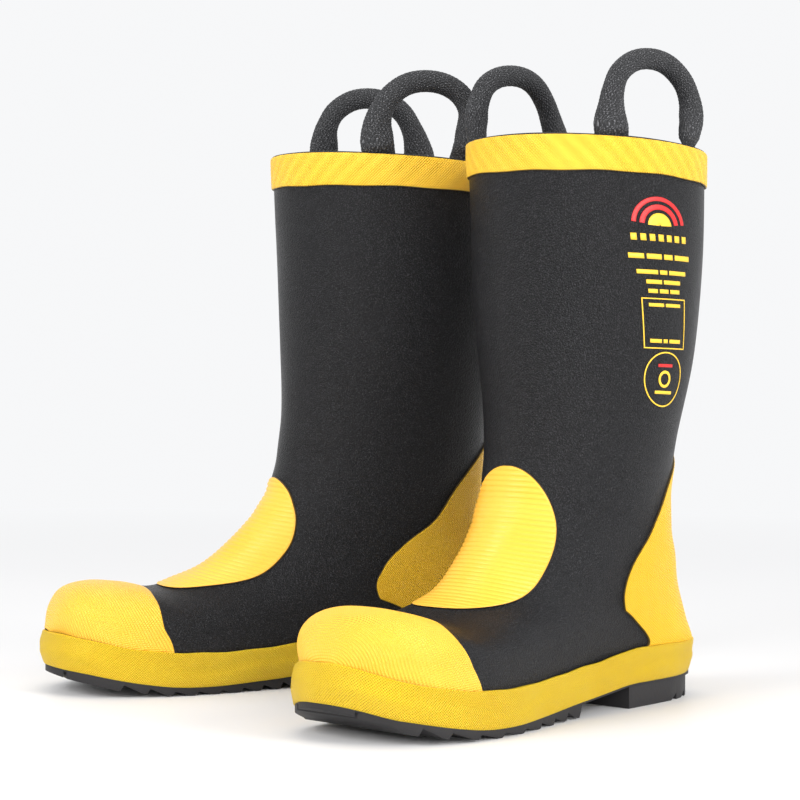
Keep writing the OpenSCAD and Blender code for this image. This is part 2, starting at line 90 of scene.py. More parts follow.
# Outline of the sole seen from above, and the height of the foxing's lower edge along the boot
OUTLINE = np.array([
    [0, 0], [25, 10], [36.5, 38], [40, 92], [43.5, 155], [53, 214], [51, 259], [32.5, 293],
    [-6, 310], [-39, 293.5], [-51, 256], [-48.5, 213], [-36, 155], [-34, 92], [-35.5, 38],
    [-25, 10]], float)
OUTLINE_STEPS = 14
SOLE_LINE = np.array([
    [-10, 14.4], [92, 14.4], [128, 10.4], [170, 6.6], [215, 4.6], [240, 5.2], [265, 8.6],
    [290, 13.6], [318, 20]], float)
TREAD_LINE = np.array([
    [150, 1], [165, 0], [238, 0], [266, 3], [284, 5.4], [297, 9], [306, 13.2], [318, 17]], float)
FOXING_H = 20.6
FOXING_T = 1.9
# How much higher the foxing's lower and upper edges run round the toe tip than on the plain line
TOE_LIFTS = {"left": (3, 4.6), "right": (-1.2, -1.4)}
# Where along the foot that lift begins and ends, for the foxing and for the lugs
TIP_RISE = (290, 311)
TREAD_RISE = (290, 312)
FOXING_LOW_OUT = 0.6
SOLE_EDGE_T = 1.2
SOLE_TUCK = 1.2
SOLE_BACK = -6
SOLE_FRONT = 318
# The lugs' rear edges along the foot at the sole's outer and inner side: they fan out
LUGS_OUTER = np.array([143, 157.5, 172.5, 189, 207.5, 227.5, 247, 266.5, 283.5])
LUGS_INNER = np.array([160, 172, 185, 198.5, 212.5, 228, 243, 258.5, 274])
LUG_FLAT = 2.5
LUG_LEAN = 2.4
LUG_ROOT = 2.6
SOLE_HALF_W = 50
# Blocks the sole and heel are cut from: half width, and the height of the outline they are cut to
BLOCK_HALF_W = 80
BLOCK_Z = (-5, 60)
TREAD_END = 304
TOE_SLOT_W = 1.6
HEEL_LEN = 92
HEEL_NOTCHES = (8, 23, 38)
HEEL_NOTCH_DEPTH = 3.9
HEEL_NOTCH_W = 6.5
FOOTBED_LINE = np.array([
    [20, 34.5], [95, 30.5], [172, 25.6], [226, 23.6], [255, 27.5], [276, 32.5]], float)
FOOTBED_T = 4.5
FOOTBED_INSET = 18

# Edges of the guards, in stations and in degrees round from the front
TOE_EDGES = {
    "left": np.array([
        [0, 9.3], [20, 9.55], [40, 9.92], [58, 10.08], [74, 10.12], [90, 10.15], [130, 10.3]]),
    "right": np.array([
        [0, 9.32], [20, 9.45], [37, 9.62], [58, 9.79], [75, 9.96], [90, 10.1], [130, 10.35]])}
TOE_GUARD_T = 0.6
CAP_PITCH = 1.75
HEEL_POINT = 2.92
HEEL_EDGES = {
    "outer": np.array([
        [2.9, 176], [3.05, 160], [3.36, 132.6], [3.64, 119.8], [4.1, 107.5], [4.54, 100],
        [5, 91.8], [5.46, 87], [5.9, 86.2], [6.24, 88.2], [6.58, 90.6], [6.94, 95],
        [7.31, 107], [7.5, 109], [8, 110]]),
    "inner": np.array([
        [2.9, 176], [3.02, 166], [3.19, 149.5], [3.69, 125], [4.47, 107.6], [4.95, 94.4],
        [5.56, 85.8], [6.24, 84.9], [6.7, 88.5], [6.94, 92.5], [7.31, 105], [7.5, 108],
        [8, 110]])}
# Stations of the heel guard's foot, inside the foxing, by degrees from the front
HEEL_FOOT = np.array([
    [104, 7.6], [108, 7.42], [112, 7.27], [116, 7.17], [122, 7.06], [130, 6.93], [150, 6.71],
    [180, 6.6]])
GUARD_T = 1.5
# The shin guards' upper and lower ends in stations. Laid by hand, the left one sits higher.
SHINS = {"left": (3.54, 8.08), "right": (3.97, 8.72)}
SHIN_HALF_ANGLE = 44
SHIN_RIB = 3.2

# Pull loops: angles of the front and the rear foot round the collar, thickness, and the centre line
# over the hinge line, along the line through the feet and up
LOOPS = {
    ("left", "outer"): (54, 106, 12.4, [
        [34, 0], [32.8, 9], [30.6, 19], [24.5, 30.2], [12, 38.4], [-3, 41], [-17, 38.3],
        [-28.5, 29.5], [-33.3, 18], [-33.4, 8], [-31, 0]]),
    ("left", "inner"): (61, 120, 12.8, [
        [36.6, 0], [38.4, 8], [38.4, 18], [33.5, 29.5], [23.7, 36.2], [10.3, 39.4],
        [-4, 39], [-16, 34.6], [-26, 26], [-33, 16.5], [-38, 8], [-40, 0]]),
    ("right", "outer"): (72, 123, 13.8, [
        [32, 0], [32, 10], [30.5, 20.5], [25, 31], [14, 38.6], [1, 40.7], [-12, 38],
        [-22, 31], [-29, 19.5], [-32.6, 9], [-34.4, 0]]),
    ("right", "inner"): (67, 111, 13.8, [
        [29, 0], [28.3, 11], [25.3, 20], [19, 29.3], [8.5, 36.7], [-4, 39.6],
        [-17, 38.2], [-27.5, 32.2], [-33.2, 22.5], [-33.6, 11], [-31.6, 0]])}
LOOP_RISE = 40
LOOP_LEAN_IN = 4
LOOP_FOOT = (21, 10.8)
LOOP_WALL = 2.4
HINGE_Z = 340
COLLAR_MID_Y = 86.5
POCKET_HALF = (63.4, 71.6)


# ---- curves and surfaces ----

def hermite(a, b, c, d, f):
    return 0.5 * (2 * b + (c - a) * f + (2 * a - 5 * b + 4 * c - d) * f * f
                  + (3 * b - a - 3 * c + d) * f ** 3)


def curve_at(points, t):
    """Points of an open Catmull-Rom curve at parameters t, one row of points for each whole number."""
    last = len(points) - 1
    i = np.clip(np.floor(t).astype(int), 0, last - 1)
    f = (t - i)[..., None]
    return hermite(points[np.maximum(i - 1, 0)], points[i], points[i + 1],
                   points[np.minimum(i + 2, last)], f)


def closed_curve(points, steps):
    f = (np.arange(steps) / steps)[None, :, None]
    rolled = [np.roll(points, shift, axis=0)[:, None, :] for shift in (1, 0, -1, -2)]
    return hermite(*rolled, f).reshape(-1, points.shape[1])


def ease(a, b, x):
    t = np.clip((x - a) / (b - a), 0, 1)
    return t * t * (3 - 2 * t)


def bell(x, middle, width):
    return np.exp(-((x - middle) / width) ** 2)


def power(v, e):
    return np.sign(v) * np.abs(v) ** e


def unit(v):
    return v / np.linalg.norm(v, axis=-1, keepdims=True)


def turn_apart(phi, middle):
    """Degrees between two angles, the short way round."""
    return np.abs((phi - middle + 180) % 360 - 180)


def sway(side, s, phi):
    """How far the upper stands off the smooth stations, in millimetres: the fuller heel and toe of each
    boot, and the slight unevenness of rubber laid up by hand."""
    shift = 0.7 if side == "left" else 2.1
    p = np.radians(phi)
    turned = turn_apart(phi, 0)
    leg = ease(0.4, 1.3, s) * (1 - ease(8.2, 9.2, s))
    slow = 0.4 * np.sin(1.7 * s + 2 * p + shift) + 0.28 * np.sin(2.9 * s - 3 * p + 2 * shift)
    folds = 0.35 * bell(s, 4.2, 0.9) * np.sin(8.5 * s + 1.5 * np.cos(p + shift)) * np.abs(np.cos(p))
    heel = 2.2 * bell(s, 6.35, 0.95) * ease(105, 150, turned)
    crown = (2.8 if side == "left" else -1.6) * bell(s, 11.2, 1.7) * np.clip(np.cos(p), 0, 1) ** 0.6
    return leg * (slow + folds) + heel + crown


def skin(side, s, phi, d=0.0):
    """Points of a boot's outer surface at stations s and angles phi (0 front or top, 90 outer side,
    180 back or bottom), moved outwards by d within the slanted cut."""
    s, phi, d = np.broadcast_arrays(np.asarray(s, float), np.asarray(phi, float), d)
    st = curve_at(STATIONS, s)
    front = st[..., 0:2]
    back = st[..., 2:4]
    axis = front - back
    length = np.linalg.norm(axis, axis=-1)
    cos = np.cos(np.radians(phi))
    sin = np.sin(np.radians(phi))
    e = np.where(cos >= 0, 2 / (2.05 + 0.45 * ease(5, 9, s)), 2 / (2.05 + 2.6 * ease(5.2, 8, s)))
    c = power(cos, e)
    w = power(sin, e)
    high = (c + 1) / 2
    outer = st[..., 4] + (st[..., 5] - st[..., 4]) * high
    inner = st[..., 6] + (st[..., 7] - st[..., 6]) * high
    out = d + sway(side, s, phi)
    reach = ((length / 2 + out) * c / length)[..., None]
    yz = (front + back) / 2 + axis * reach
    return np.stack([(np.where(sin >= 0, outer, inner) + out) * w, yz[..., 0], yz[..., 1]], -1)


def below_collar(mm):
    """Stations that many millimetres down from the collar, or above it for less than 0."""
    s = np.linspace(-0.3, 3.6, 400)
    return np.interp(mm, STATIONS[0, 1] - curve_at(STATIONS, s)[:, 1], s)


def place(side, points):
    """Points from a boot's own axes, in millimetres, to the row frame, in metres."""
    turn = math.pi - TOE_OUT
    x = points[..., 0] * math.cos(turn) - points[..., 1] * math.sin(turn)
    y = points[..., 0] * math.sin(turn) + points[..., 1] * math.cos(turn)
    if side == "left":
        x = -x
    heel = HEELS[side]
    return np.stack([x + heel[0], y + heel[1], points[..., 2]], -1) * MM


def run_lengths(points):
    """Length along an open row of points up to each point."""
    steps = np.linalg.norm(np.diff(points, axis=0), axis=-1)
    return np.concatenate([[0], np.cumsum(steps)])


def new_object(name, data):
    obj = bpy.data.objects.new(name, data)
    bpy.context.scene.collection.objects.link(obj)
    return obj


# ---- meshes from grids of points ----

def grid_faces(rows, cols, wrap, start=0, flip=False):
    i, j = np.meshgrid(np.arange(rows - 1), np.arange(cols if wrap else cols - 1), indexing="ij")
    k = (j + 1) % cols
    quads = np.stack([i * cols + j, i * cols + k, (i + 1) * cols + k, (i + 1) * cols + j], -1)
    quads = quads.reshape(-1, 4) + start
    return quads[:, ::-1] if flip else quads


def strip_faces(a, b, wrap):
    """Quads between two rows of point numbers."""
    if wrap:
        a = np.append(a, a[0])
        b = np.append(b, b[0])
    return np.stack([a[:-1], b[:-1], b[1:], a[1:]], -1)


def closed_skin(outer, inner, wrap, hole_closed=False):
    """Points and faces of a skin between two grids. Both wrap round or both have four free edges."""
    rows, cols = outer.shape[:2]
    count = rows * cols
    points = np.concatenate([outer.reshape(-1, 3), inner.reshape(-1, 3)])
    number = np.arange(count).reshape(rows, cols)
    faces = [grid_faces(rows, cols, wrap), grid_faces(rows, cols, wrap, count, True),
             strip_faces(number[0], number[0] + count, wrap)]
    if hole_closed:
        ends = np.array([outer[-1].mean(0), inner[-1].mean(0)])
        points = np.concatenate([points, ends])
        last = number[-1]
        for row, tip, flip in ((last, 2 * count, False), (last + count, 2 * count + 1, True)):
            fan = np.stack([row, np.roll(row, -1), np.full(cols, tip)], -1)
            faces.append(fan[:, ::-1] if flip else fan)
    else:
        faces.append(strip_faces(number[-1], number[-1] + count, wrap)[:, ::-1])
    if not wrap:
        faces.append(strip_faces(number[:, 0], number[:, 0] + count, False)[:, ::-1])
        faces.append(strip_faces(number[:, -1], number[:, -1] + count, False))
    return points, faces


def swept_ring(sections):
    """Points and faces of a solid swept round a closed row of closed sections."""
    rows, cols = sections.shape[:2]
    looped = grid_faces(rows + 1, cols, True) % (rows * cols)
    return sections.reshape(-1, 3), [looped]


def lofted(rings):
    """Points and faces of a solid through closed rings, with both ends closed by a fan."""
    rows, cols = rings.shape[:2]
    points = np.concatenate([rings.reshape(-1, 3), [rings[0].mean(0), rings[-1].mean(0)]])
    first = np.arange(cols)
    last = first + (rows - 1) * cols
    faces = [grid_faces(rows, cols, True),
             np.stack([np.roll(first, -1), first, np.full(cols, rows * cols)], -1),
             np.stack([last, np.roll(last, -1), np.full(cols, rows * cols + 1)], -1)]
    return points, faces


def joined(solids):
    """One set of points and faces from several."""
    points = []
    faces = []
    count = 0
    for p, fs in solids:
        points.append(p)
        faces += [f + count for f in fs]
        count += len(p)
    return np.concatenate(points), faces


def mesh_piece(name, side, solid, material, attributes=None):
    """A smooth-shaded mesh object in the row frame. attributes are numbers or vectors for each point."""
    points, faces = solid
    if side == "left":
        faces = [f[:, ::-1] for f in faces]
    me = bpy.data.meshes.new(name)
    me.vertices.add(len(points))
    me.vertices.foreach_set("co", place(side, points).astype(np.float32).ravel())
    corners = np.concatenate([f.ravel() for f in faces]).astype(np.int32)
    sizes = np.concatenate([np.full(len(f), f.shape[1]) for f in faces])
    me.loops.add(len(corners))
    me.loops.foreach_set("vertex_index", corners)
    me.polygons.add(len(sizes))
    me.polygons.foreach_set("loop_start", np.concatenate([[0], np.cumsum(sizes)[:-1]]).astype(np.int32))
    me.polygons.foreach_set("use_smooth", np.ones(len(sizes), bool))
    me.update(calc_edges=True)
    me.validate()
    for key, values in (attributes or {}).items():
        kind = "FLOAT" if values.ndim == 1 else "FLOAT_VECTOR"
        field = "value" if values.ndim == 1 else "vector"
        layer = me.attributes.new(key, kind, "POINT")
        layer.data.foreach_set(field, values.astype(np.float32).ravel())
    me.materials.append(material)
    return new_object(name, me)


def finish_piece(obj, body, slot, *nodes):
    """The piece rides on a body and stands for its CAD nodes, which are hidden. slot is not used."""
    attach(obj, body)
    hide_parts(*nodes)
    return obj


def edge_distance(points, edge):
    """Distance in millimetres from each point to the nearest point of an edge."""
    tree = KDTree(len(edge))
    for i, p in enumerate(edge):
        tree.insert(p, i)
    tree.balance()
    return np.array([tree.find(p)[2] for p in points.reshape(-1, 3)]).reshape(points.shape[:-1])


def border(grid, steps=6):
    """A dense row of points round the free edge of a grid."""
    loop = np.concatenate([grid[0], grid[1:, -1], grid[-1, -2::-1], grid[-2:0:-1, 0]])
    after = np.roll(loop, -1, axis=0)
    f = (np.arange(steps) / steps)[None, :, None]
    return (loop[:, None] * (1 - f) + after[:, None] * f).reshape(-1, 3)


def guard(name, side, s, phi, thickness, radius, relief, material, thin_bottom=None):
    """A bonded guard on the upper with a rounded edge. relief(distance) adds raised detail, and the
    rim attribute marks its very edge, painted dark: the cement line there, and painted shade along the
    joint."""
    base = skin(side, s, phi)
    away = edge_distance(base, border(base))
    crown = np.sqrt(1 - (1 - np.clip(away / radius, 0, 1)) ** 2)
    height = 0.3 + (thickness - 0.3) * crown
    if thin_bottom is not None:
        height = height * thin_bottom
    outer = skin(side, s, phi, height + relief(away))
    inner = skin(side, s, phi, 0.03)
    rim = 1 - ease(0.1, 0.75, away)
    both = np.concatenate([rim.ravel(), np.ones(rim.size)])
    return mesh_piece(name, side, closed_skin(outer, inner, False), material, {"rim": both})


# ---- materials ----

def connect(tree, node, inputs):
    """Gives a shader node its inputs, which are values or sockets."""
    for key, value in inputs.items():
        if isinstance(value, bpy.types.NodeSocket):
            tree.links.new(value, node.inputs[key])
        else:
            node.inputs[key].default_value = value


def add(tree, kind, inputs=None, **settings):
    """A shader node with its settings and its inputs."""
    made = tree.nodes.new(kind)
    for key, value in settings.items():
        setattr(made, key, value)
    connect(tree, made, inputs or {})
    return made


def new_material(name, **shader):
    """A material with one Principled shader. shader holds the shader's plain values."""
    material = bpy.data.materials.new(name)
    material.use_nodes = True
    tree = material.node_tree
    tree.nodes.clear()
    out = add(tree, "ShaderNodeOutputMaterial")
    principled = add(tree, "ShaderNodeBsdfPrincipled", shader)
    tree.links.new(principled.outputs[0], out.inputs[0])
    return material, tree, principled


def attribute(tree, name, output):
    return add(tree, "ShaderNodeAttribute", attribute_name=name).outputs[output]


def object_place(tree):
    return add(tree, "ShaderNodeTexCoord").outputs["Object"]


def math_node(tree, operation, a, b=0.0):
    return add(tree, "ShaderNodeMath", {0: a, 1: b}, operation=operation).outputs[0]


def wave(tree, length, pitch):
    """A sine wave along a length."""
    return math_node(tree, "SINE", math_node(tree, "MULTIPLY", length, 2 * math.pi / pitch))


def noise(tree, vector, scale, detail=2.0, roughness=0.5):
    inputs = {"Vector": vector, "Scale": scale, "Detail": detail, "Roughness": roughness}
    return add(tree, "ShaderNodeTexNoise", inputs).outputs[0]


def remap(tree, value, low, high, to_low, to_high):
    inputs = {0: value, 1: low, 2: high, 3: to_low, 4: to_high}
    return add(tree, "ShaderNodeMapRange", inputs).outputs[0]


def blend_colours(tree, factor, a, b):
    return add(tree, "ShaderNodeMix", {0: factor, 6: a, 7: b}, data_type="RGBA").outputs[2]


def bump(tree, height, distance, normal=None):
    inputs = {"Height": height, "Distance": distance, "Strength": 1.0}
    if normal is not None:
        inputs["Normal"] = normal
    return add(tree, "ShaderNodeBump", inputs).outputs[0]


def black_rubber(name, tone, roughness, grain, grain_size, glint_paint=0.0, shine=0.3):
    """Satin black rubber with a pebbled grain. grain is the grain's depth, grain_size its pitch and speck
    how strongly the grain's high points are painted paler grey, as painted glints of light."""
    material, tree, shader = new_material(name, **{"Specular IOR Level": shine})
    where = object_place(tree)
    cells = add(tree, "ShaderNodeTexVoronoi", {"Vector": where, "Scale": 1 / grain_size},
                feature="SMOOTH_F1").outputs["Distance"]
    fine = noise(tree, where, 1.6 / grain_size, 3, 0.65)
    pebble = math_node(tree, "ADD", cells, math_node(tree, "MULTIPLY", fine, 0.7))
    patches = noise(tree, where, 28, 3)
    dark = (*[t * 0.8 for t in tone], 1)
    light = (*[t * 1.25 for t in tone], 1)
    colour = blend_colours(tree, patches, dark, light)
    # painted highlight: the grain's high points are painted paler grey, standing in for glints of light on
    # the satin grain
    painted_glints = remap(tree, noise(tree, where, 1.3 / grain_size, 3, 0.8), 0.53, 0.64, 0, glint_paint)
    colour = blend_colours(tree, painted_glints, colour, (0.05, 0.05, 0.054, 1))
    rough = remap(tree, patches, 0.3, 0.7, roughness - 0.04, roughness + 0.05)
    normal = bump(tree, pebble, grain)
    connect(tree, shader, {"Base Color": colour, "Roughness": rough, "Normal": normal})
    return material


def yellow_rubber(name, tone, roughness, pattern, depth):
    """Yellow rubber. pattern(tree) gives the height of its pressed texture, depth in metres."""
    material, tree, shader = new_material(name, **{"Specular IOR Level": 0.3})
    where = object_place(tree)
    patches = noise(tree, where, 22, 3, 0.55)
    deeper = (tone[0] * 0.965, tone[1] * 0.93, tone[2] * 0.7, 1)
    colour = blend_colours(tree, remap(tree, patches, 0.35, 0.7, 0, 1), deeper, (*tone, 1))
    marks = remap(tree, noise(tree, where, 150, 4, 0.7), 0.7, 0.8, 0, 0.18)
    colour = blend_colours(tree, marks, colour, (0.5, 0.3, 0.02, 1))
    # the rim is painted near black: the cement line at the piece's edge, and painted shade along its joint
    # with the upper
    rim = remap(tree, attribute(tree, "rim", "Fac"), 0.35, 0.9, 0, 0.93)
    colour = blend_colours(tree, rim, colour, (0.03, 0.022, 0.012, 1))
    rough = remap(tree, noise(tree, where, 60, 3), 0.3, 0.7, roughness - 0.05, roughness + 0.06)
    orange_peel = bump(tree, noise(tree, where, 420, 2), 0.00006)
    normal = bump(tree, pattern(tree), depth, orange_peel)
    connect(tree, shader, {"Base Color": colour, "Roughness": rough, "Normal": normal})
    return material


def crossed_lines(tree, u, v, pitch):
    """Heights of small pyramids between two sets of diagonal lines."""
    rising = math_node(tree, "ADD", wave(tree, math_node(tree, "ADD", u, v), pitch), 1)
    falling = math_node(tree, "ADD", wave(tree, math_node(tree, "SUBTRACT", u, v), pitch), 1)
    return math_node(tree, "MULTIPLY", rising, falling)


def weave_parts(tree):
    """A piece's own lengths round it and across it, in millimetres, as its weave follows them."""
    return add(tree, "ShaderNodeSeparateXYZ", {0: attribute(tree, "weave", "Vector")}).outputs


def knurl(pitch):
    """A woven knurl that follows the band it is on, from the band's own lengths in millimetres."""
    def pattern(tree):
        parts = weave_parts(tree)
        return crossed_lines(tree, parts[0], parts[1], pitch)
    return pattern


def fine_dots(tree):
    """The heel guard's fine dots, 1.6 mm apart, from its place in metres."""
    parts = add(tree, "ShaderNodeSeparateXYZ", {0: object_place(tree)}).outputs
    return crossed_lines(tree, math_node(tree, "ADD", parts[0], parts[1]), parts[2], 0.0016)


def twill(tree):
    """Diagonal cords of a woven band, the one way stronger than the other."""
    parts = weave_parts(tree)
    fine = crossed_lines(tree, parts[0], parts[1], 2.0)
    cords = wave(tree, math_node(tree, "ADD", parts[0], parts[1]), 1.7)
    return math_node(tree, "ADD", math_node(tree, "MULTIPLY", fine, 0.35), cords)


def draped_mesh(tree):
    """The toe guard's mesh: lines round the crown and lines along the foot."""
    parts = weave_parts(tree)
    along = wave(tree, parts[0], 1.3)
    around = wave(tree, parts[1], CAP_PITCH)
    return math_node(tree, "ADD", math_node(tree, "MULTIPLY", along, 0.7), around)


def rib_grain(tree):
    """The shin guard's fine grain. Its ribs are in its mesh."""
    return noise(tree, object_place(tree), 900, 2)


def woven(name, tone, light, roughness, pitch, depth):
    """A fabric with a fine knit or weave in the piece's own place."""
    material, tree, shader = new_material(name, **{"Roughness": roughness, "Sheen Weight": 0.35})
    where = object_place(tree)
    cells = add(tree, "ShaderNodeTexVoronoi", {"Vector": where, "Scale": 1 / pitch}).outputs["Distance"]
    fibres = noise(tree, where, 3.1 / pitch, 3, 0.7)
    height = math_node(tree, "ADD", cells, math_node(tree, "MULTIPLY", fibres, 0.5))
    colour = blend_colours(tree, fibres, (*tone, 1), (*light, 1))
    connect(tree, shader, {"Base Color": colour, "Normal": bump(tree, height, depth)})
    return material


def braid_yarn(name):
    """Charcoal braided yarn. lay is 1 on top of a yarn and 0 in the gaps between yarns, which are painted
    darker as painted shade.
    """
    values = {"Roughness": 0.6, "Sheen Weight": 0.06, "Specular IOR Level": 0.3}
    material, tree, shader = new_material(name, **values)
    lay = attribute(tree, "lay", "Fac")
    where = attribute(tree, "weave", "Vector")
    fibres = noise(tree, where, 2.4, 3, 0.7)
    top = blend_colours(tree, fibres, (0.004, 0.0042, 0.005, 1), (0.03, 0.031, 0.034, 1))
    # painted shade: the gaps between yarns are painted darker than the yarns' crowns
    colour = blend_colours(tree, remap(tree, lay, 0.25, 0.95, 0, 1), (0.003, 0.003, 0.0035, 1), top)
    flecks = remap(tree, noise(tree, where, 1.3, 2), 0.55, 0.64, 0, 0.75)
    flecks = math_node(tree, "MULTIPLY", flecks, lay)
    colour = blend_colours(tree, flecks, colour, (0.2, 0.2, 0.21, 1))
    connect(tree, shader, {"Base Color": colour, "Normal": bump(tree, fibres, 0.00025)})
    return material


def ink(name, tone):
    """Screen-printed ink, a little worn."""
    material, tree, shader = new_material(name, **{"Roughness": 0.45})
    worn = remap(tree, noise(tree, object_place(tree), 500, 4, 0.7), 0.62, 0.75, 0, 0.35)
    colour = blend_colours(tree, worn, (*tone, 1), (0.06, 0.05, 0.03, 1))
    tree.links.new(colour, shader.inputs["Base Color"])
    return material


def brushed_metal(name, tone, roughness):
    """Bare metal with streaks along x."""
    material, tree, shader = new_material(name, **{"Metallic": 1.0})
    stretched = add(tree, "ShaderNodeMapping", {"Vector": object_place(tree), "Scale": (40, 900, 900)})
    streaks = noise(tree, stretched.outputs[0], 1.0, 4, 0.6)
    colour = blend_colours(tree, streaks, (*[t * 0.8 for t in tone], 1), (*tone, 1))
    rough = remap(tree, streaks, 0, 1, roughness - 0.1, roughness + 0.1)
    connect(tree, shader, {"Base Color": colour, "Roughness": rough})
    return material


YELLOW = (0.93, 0.52, 0.06)
DEEP_YELLOW = (0.98, 0.66, 0.024)
# the upper rubber's 0.9 is the amount of painted glints on the high points of its grain
upper_rubber = black_rubber("upper_rubber", (0.0035, 0.0035, 0.0042), 0.36, 0.0006, 0.0009, 0.9, 0.17)
sole_rubber = black_rubber("sole_rubber", (0.021, 0.02, 0.021), 0.55, 0.00008, 0.0016, 0.0, 0.2)
binding_rubber = black_rubber("binding_rubber", (0.008, 0.008, 0.009), 0.5, 0.0001, 0.0009)
band_rubber = yellow_rubber("band_rubber", (0.9, 0.55, 0.045), 0.45, twill, 0.00022)
foxing_rubber = yellow_rubber("foxing_rubber", DEEP_YELLOW, 0.42, knurl(1.55), 0.0006)
toe_rubber = yellow_rubber("toe_rubber", YELLOW, 0.34, draped_mesh, 0.0002)
shin_rubber = yellow_rubber("shin_rubber", (0.86, 0.46, 0.055), 0.36, rib_grain, 0.00005)
heel_rubber = yellow_rubber("heel_rubber", (0.98, 0.58, 0.02), 0.42, fine_dots, 0.0003)
loop_yarn = braid_yarn("loop_yarn")
yellow_ink = ink("yellow_ink", (0.82, 0.52, 0.03))
red_ink = ink("red_ink", (0.6, 0.012, 0.012))
MATERIALS = {
    "felt": woven("felt", (0.3, 0.29, 0.26), (0.5, 0.48, 0.44), 0.95, 0.0022, 0.0006),
    "lining_fabric": woven("lining_fabric", (0.05, 0.05, 0.055), (0.12, 0.12, 0.13), 0.9, 0.0014, 0.0004),
    "steel": brushed_metal("steel", (0.62, 0.63, 0.65), 0.35),
    "edge_foam": black_rubber("edge_foam", (0.05, 0.05, 0.05), 0.8, 0.0002, 0.0008),
    "board": woven("board", (0.4, 0.3, 0.18), (0.55, 0.44, 0.28), 0.85, 0.0016, 0.0002),
    "footbed_foam": woven("footbed_foam", (0.06, 0.075, 0.1), (0.13, 0.15, 0.19), 0.9, 0.0012, 0.0003),
    "loop_weave": woven("loop_weave", (0.02, 0.02, 0.022), (0.07, 0.07, 0.075), 0.85, 0.0012, 0.0004),
    "loop_cord": woven("loop_cord", (0.5, 0.47, 0.4), (0.7, 0.67, 0.6), 0.85, 0.0014, 0.0004)}


# ---- upper, lining and collar ----

AROUND = np.arange(160) * 360 / 160


def foot_bump(side, s, phi):
    """1 where a pull loop's flattened end lies between the rubber and the lining, and all round the leg
    below the collar. Elsewhere 0."""
    near = 0.0
    for (loop_side, which), (front, rear, _, _) in LOOPS.items():
        if loop_side == side:
            for angle in (front, rear):
                middle = angle if which == "outer" else -angle
                near = np.maximum(near, 1 - ease(8, 15, turn_apart(phi, middle)))
    return np.maximum(near, ease(0.1, 0.9, s))


def rubber_upper(side):
    s = np.concatenate([np.linspace(0, 4, 70), np.linspace(4, TIP, 190)[1:]])[:, None]
    outer = skin(side, s, AROUND[None])
    inner = skin(side, s, AROUND[None], -RUBBER_T)
    solid = closed_skin(outer, inner, True, hole_closed=True)
    obj = mesh_piece(f"{side}_rubber_upper", side, solid, upper_rubber)
    finish_piece(obj, f"{side}_boot", "upper_rubber", f"{side}_leg_shell", f"{side}_vamp")


def knit_lining(side):
    s = np.concatenate([np.linspace(-0.02, 4, 70), np.linspace(4, 12.6, 110)[1:]])[:, None]
    phi = AROUND[None]
    outer_d = -RUBBER_T - 0.3 + (LINING_D + RUBBER_T + 0.3) * foot_bump(side, s, phi)
    outer_d = outer_d - sway(side, s, phi)
    solid = closed_skin(skin(side, s, phi, outer_d), skin(side, s, phi, outer_d - LINING_T), True,
                        hole_closed=True)
    obj = mesh_piece(f"{side}_knit_lining", side, solid, MATERIALS["lining_fabric"])
    finish_piece(obj, f"{side}_boot", "lining_fabric", f"{side}_lining")


def ring_lengths(ring):
    """Length along a closed row of points up to each point."""
    steps = np.linalg.norm(np.roll(ring, -1, axis=0) - ring, axis=-1)
    return np.concatenate([[0], np.cumsum(steps)[:-1]])


def yellow_collar(side):
    """The band round the collar: rounded edges, a lap at the back and small swells over the loops."""
    phi = 172 + np.arange(360)[None] * 1.0
    shift = 1.1 if side == "left" else 3.3
    wander = 0.4 * np.sin(np.radians(3 * phi) + shift) + 0.25 * np.sin(np.radians(11 * phi) + 2 * shift)
    lap = 0.5 * (1 - ease(7, 12, phi - 172))
    # half section: share of the height down and thickness, rounded at both edges
    down = np.array([0.0, 0.012, 0.05, 0.12, 0.3, 0.5, 0.7, 0.88, 0.95, 0.988, 1.0])[:, None]
    thick = np.array([0.35, 0.75, 0.97, 1, 1, 1.02, 1, 1, 0.96, 0.75, 0.35])[:, None]
    swell = 0.6 * foot_bump(side, np.zeros(1), phi) * bell(down, 0.45, 0.3)
    mm = down * (BAND_H + wander * down)
    s = below_collar(mm)
    outer = skin(side, s, phi, 0.1 + (BAND_T - 0.7 + lap) * thick + swell)
    inner = skin(side, s, phi, 0.05)
    along = np.broadcast_to(ring_lengths(outer[5]), outer.shape[:2])
    weave = np.stack([along, -mm, along * 0], -1).reshape(-1, 3)
    # the rim is the band's lower edge: its cement line, and painted shade along the joint
    rim = np.broadcast_to(ease(0.965, 1.0, down), outer.shape[:2]).ravel()
    attributes = {"weave": np.tile(weave, (2, 1)), "rim": np.concatenate([rim, np.ones(rim.size)])}
    solid = closed_skin(outer, inner, True)
    obj = mesh_piece(f"{side}_yellow_collar", side, solid, band_rubber, attributes)
    finish_piece(obj, f"{side}_boot", "band_rubber", f"{side}_collar_band")


def collar_bead(side):
    """The black edge binding: a bead over the top of the rubber."""
    turn = np.linspace(0, 2 * math.pi, 14, endpoint=False)[None]
    phi = AROUND[:, None]
    d = -RUBBER_T / 2 + (RUBBER_T / 2 + 0.55) * np.cos(turn)
    rise = 0.15 + 0.8 * np.sin(turn) + 0.1 * np.sin(np.radians(7 * phi))
    sections = skin(side, below_collar(-rise), phi, d)
    points, faces = swept_ring(sections)
    obj = mesh_piece(f"{side}_collar_bead", side, (points, [f[:, ::-1] for f in faces]), binding_rubber)
    finish_piece(obj, f"{side}_boot", "binding", f"{side}_collar_binding")


# ---- guards ----

def toe_edge(side, turned):
    """Stations of the toe guard's rear edge at degrees from the front."""
    return np.interp(turned, *TOE_EDGES[side].T)


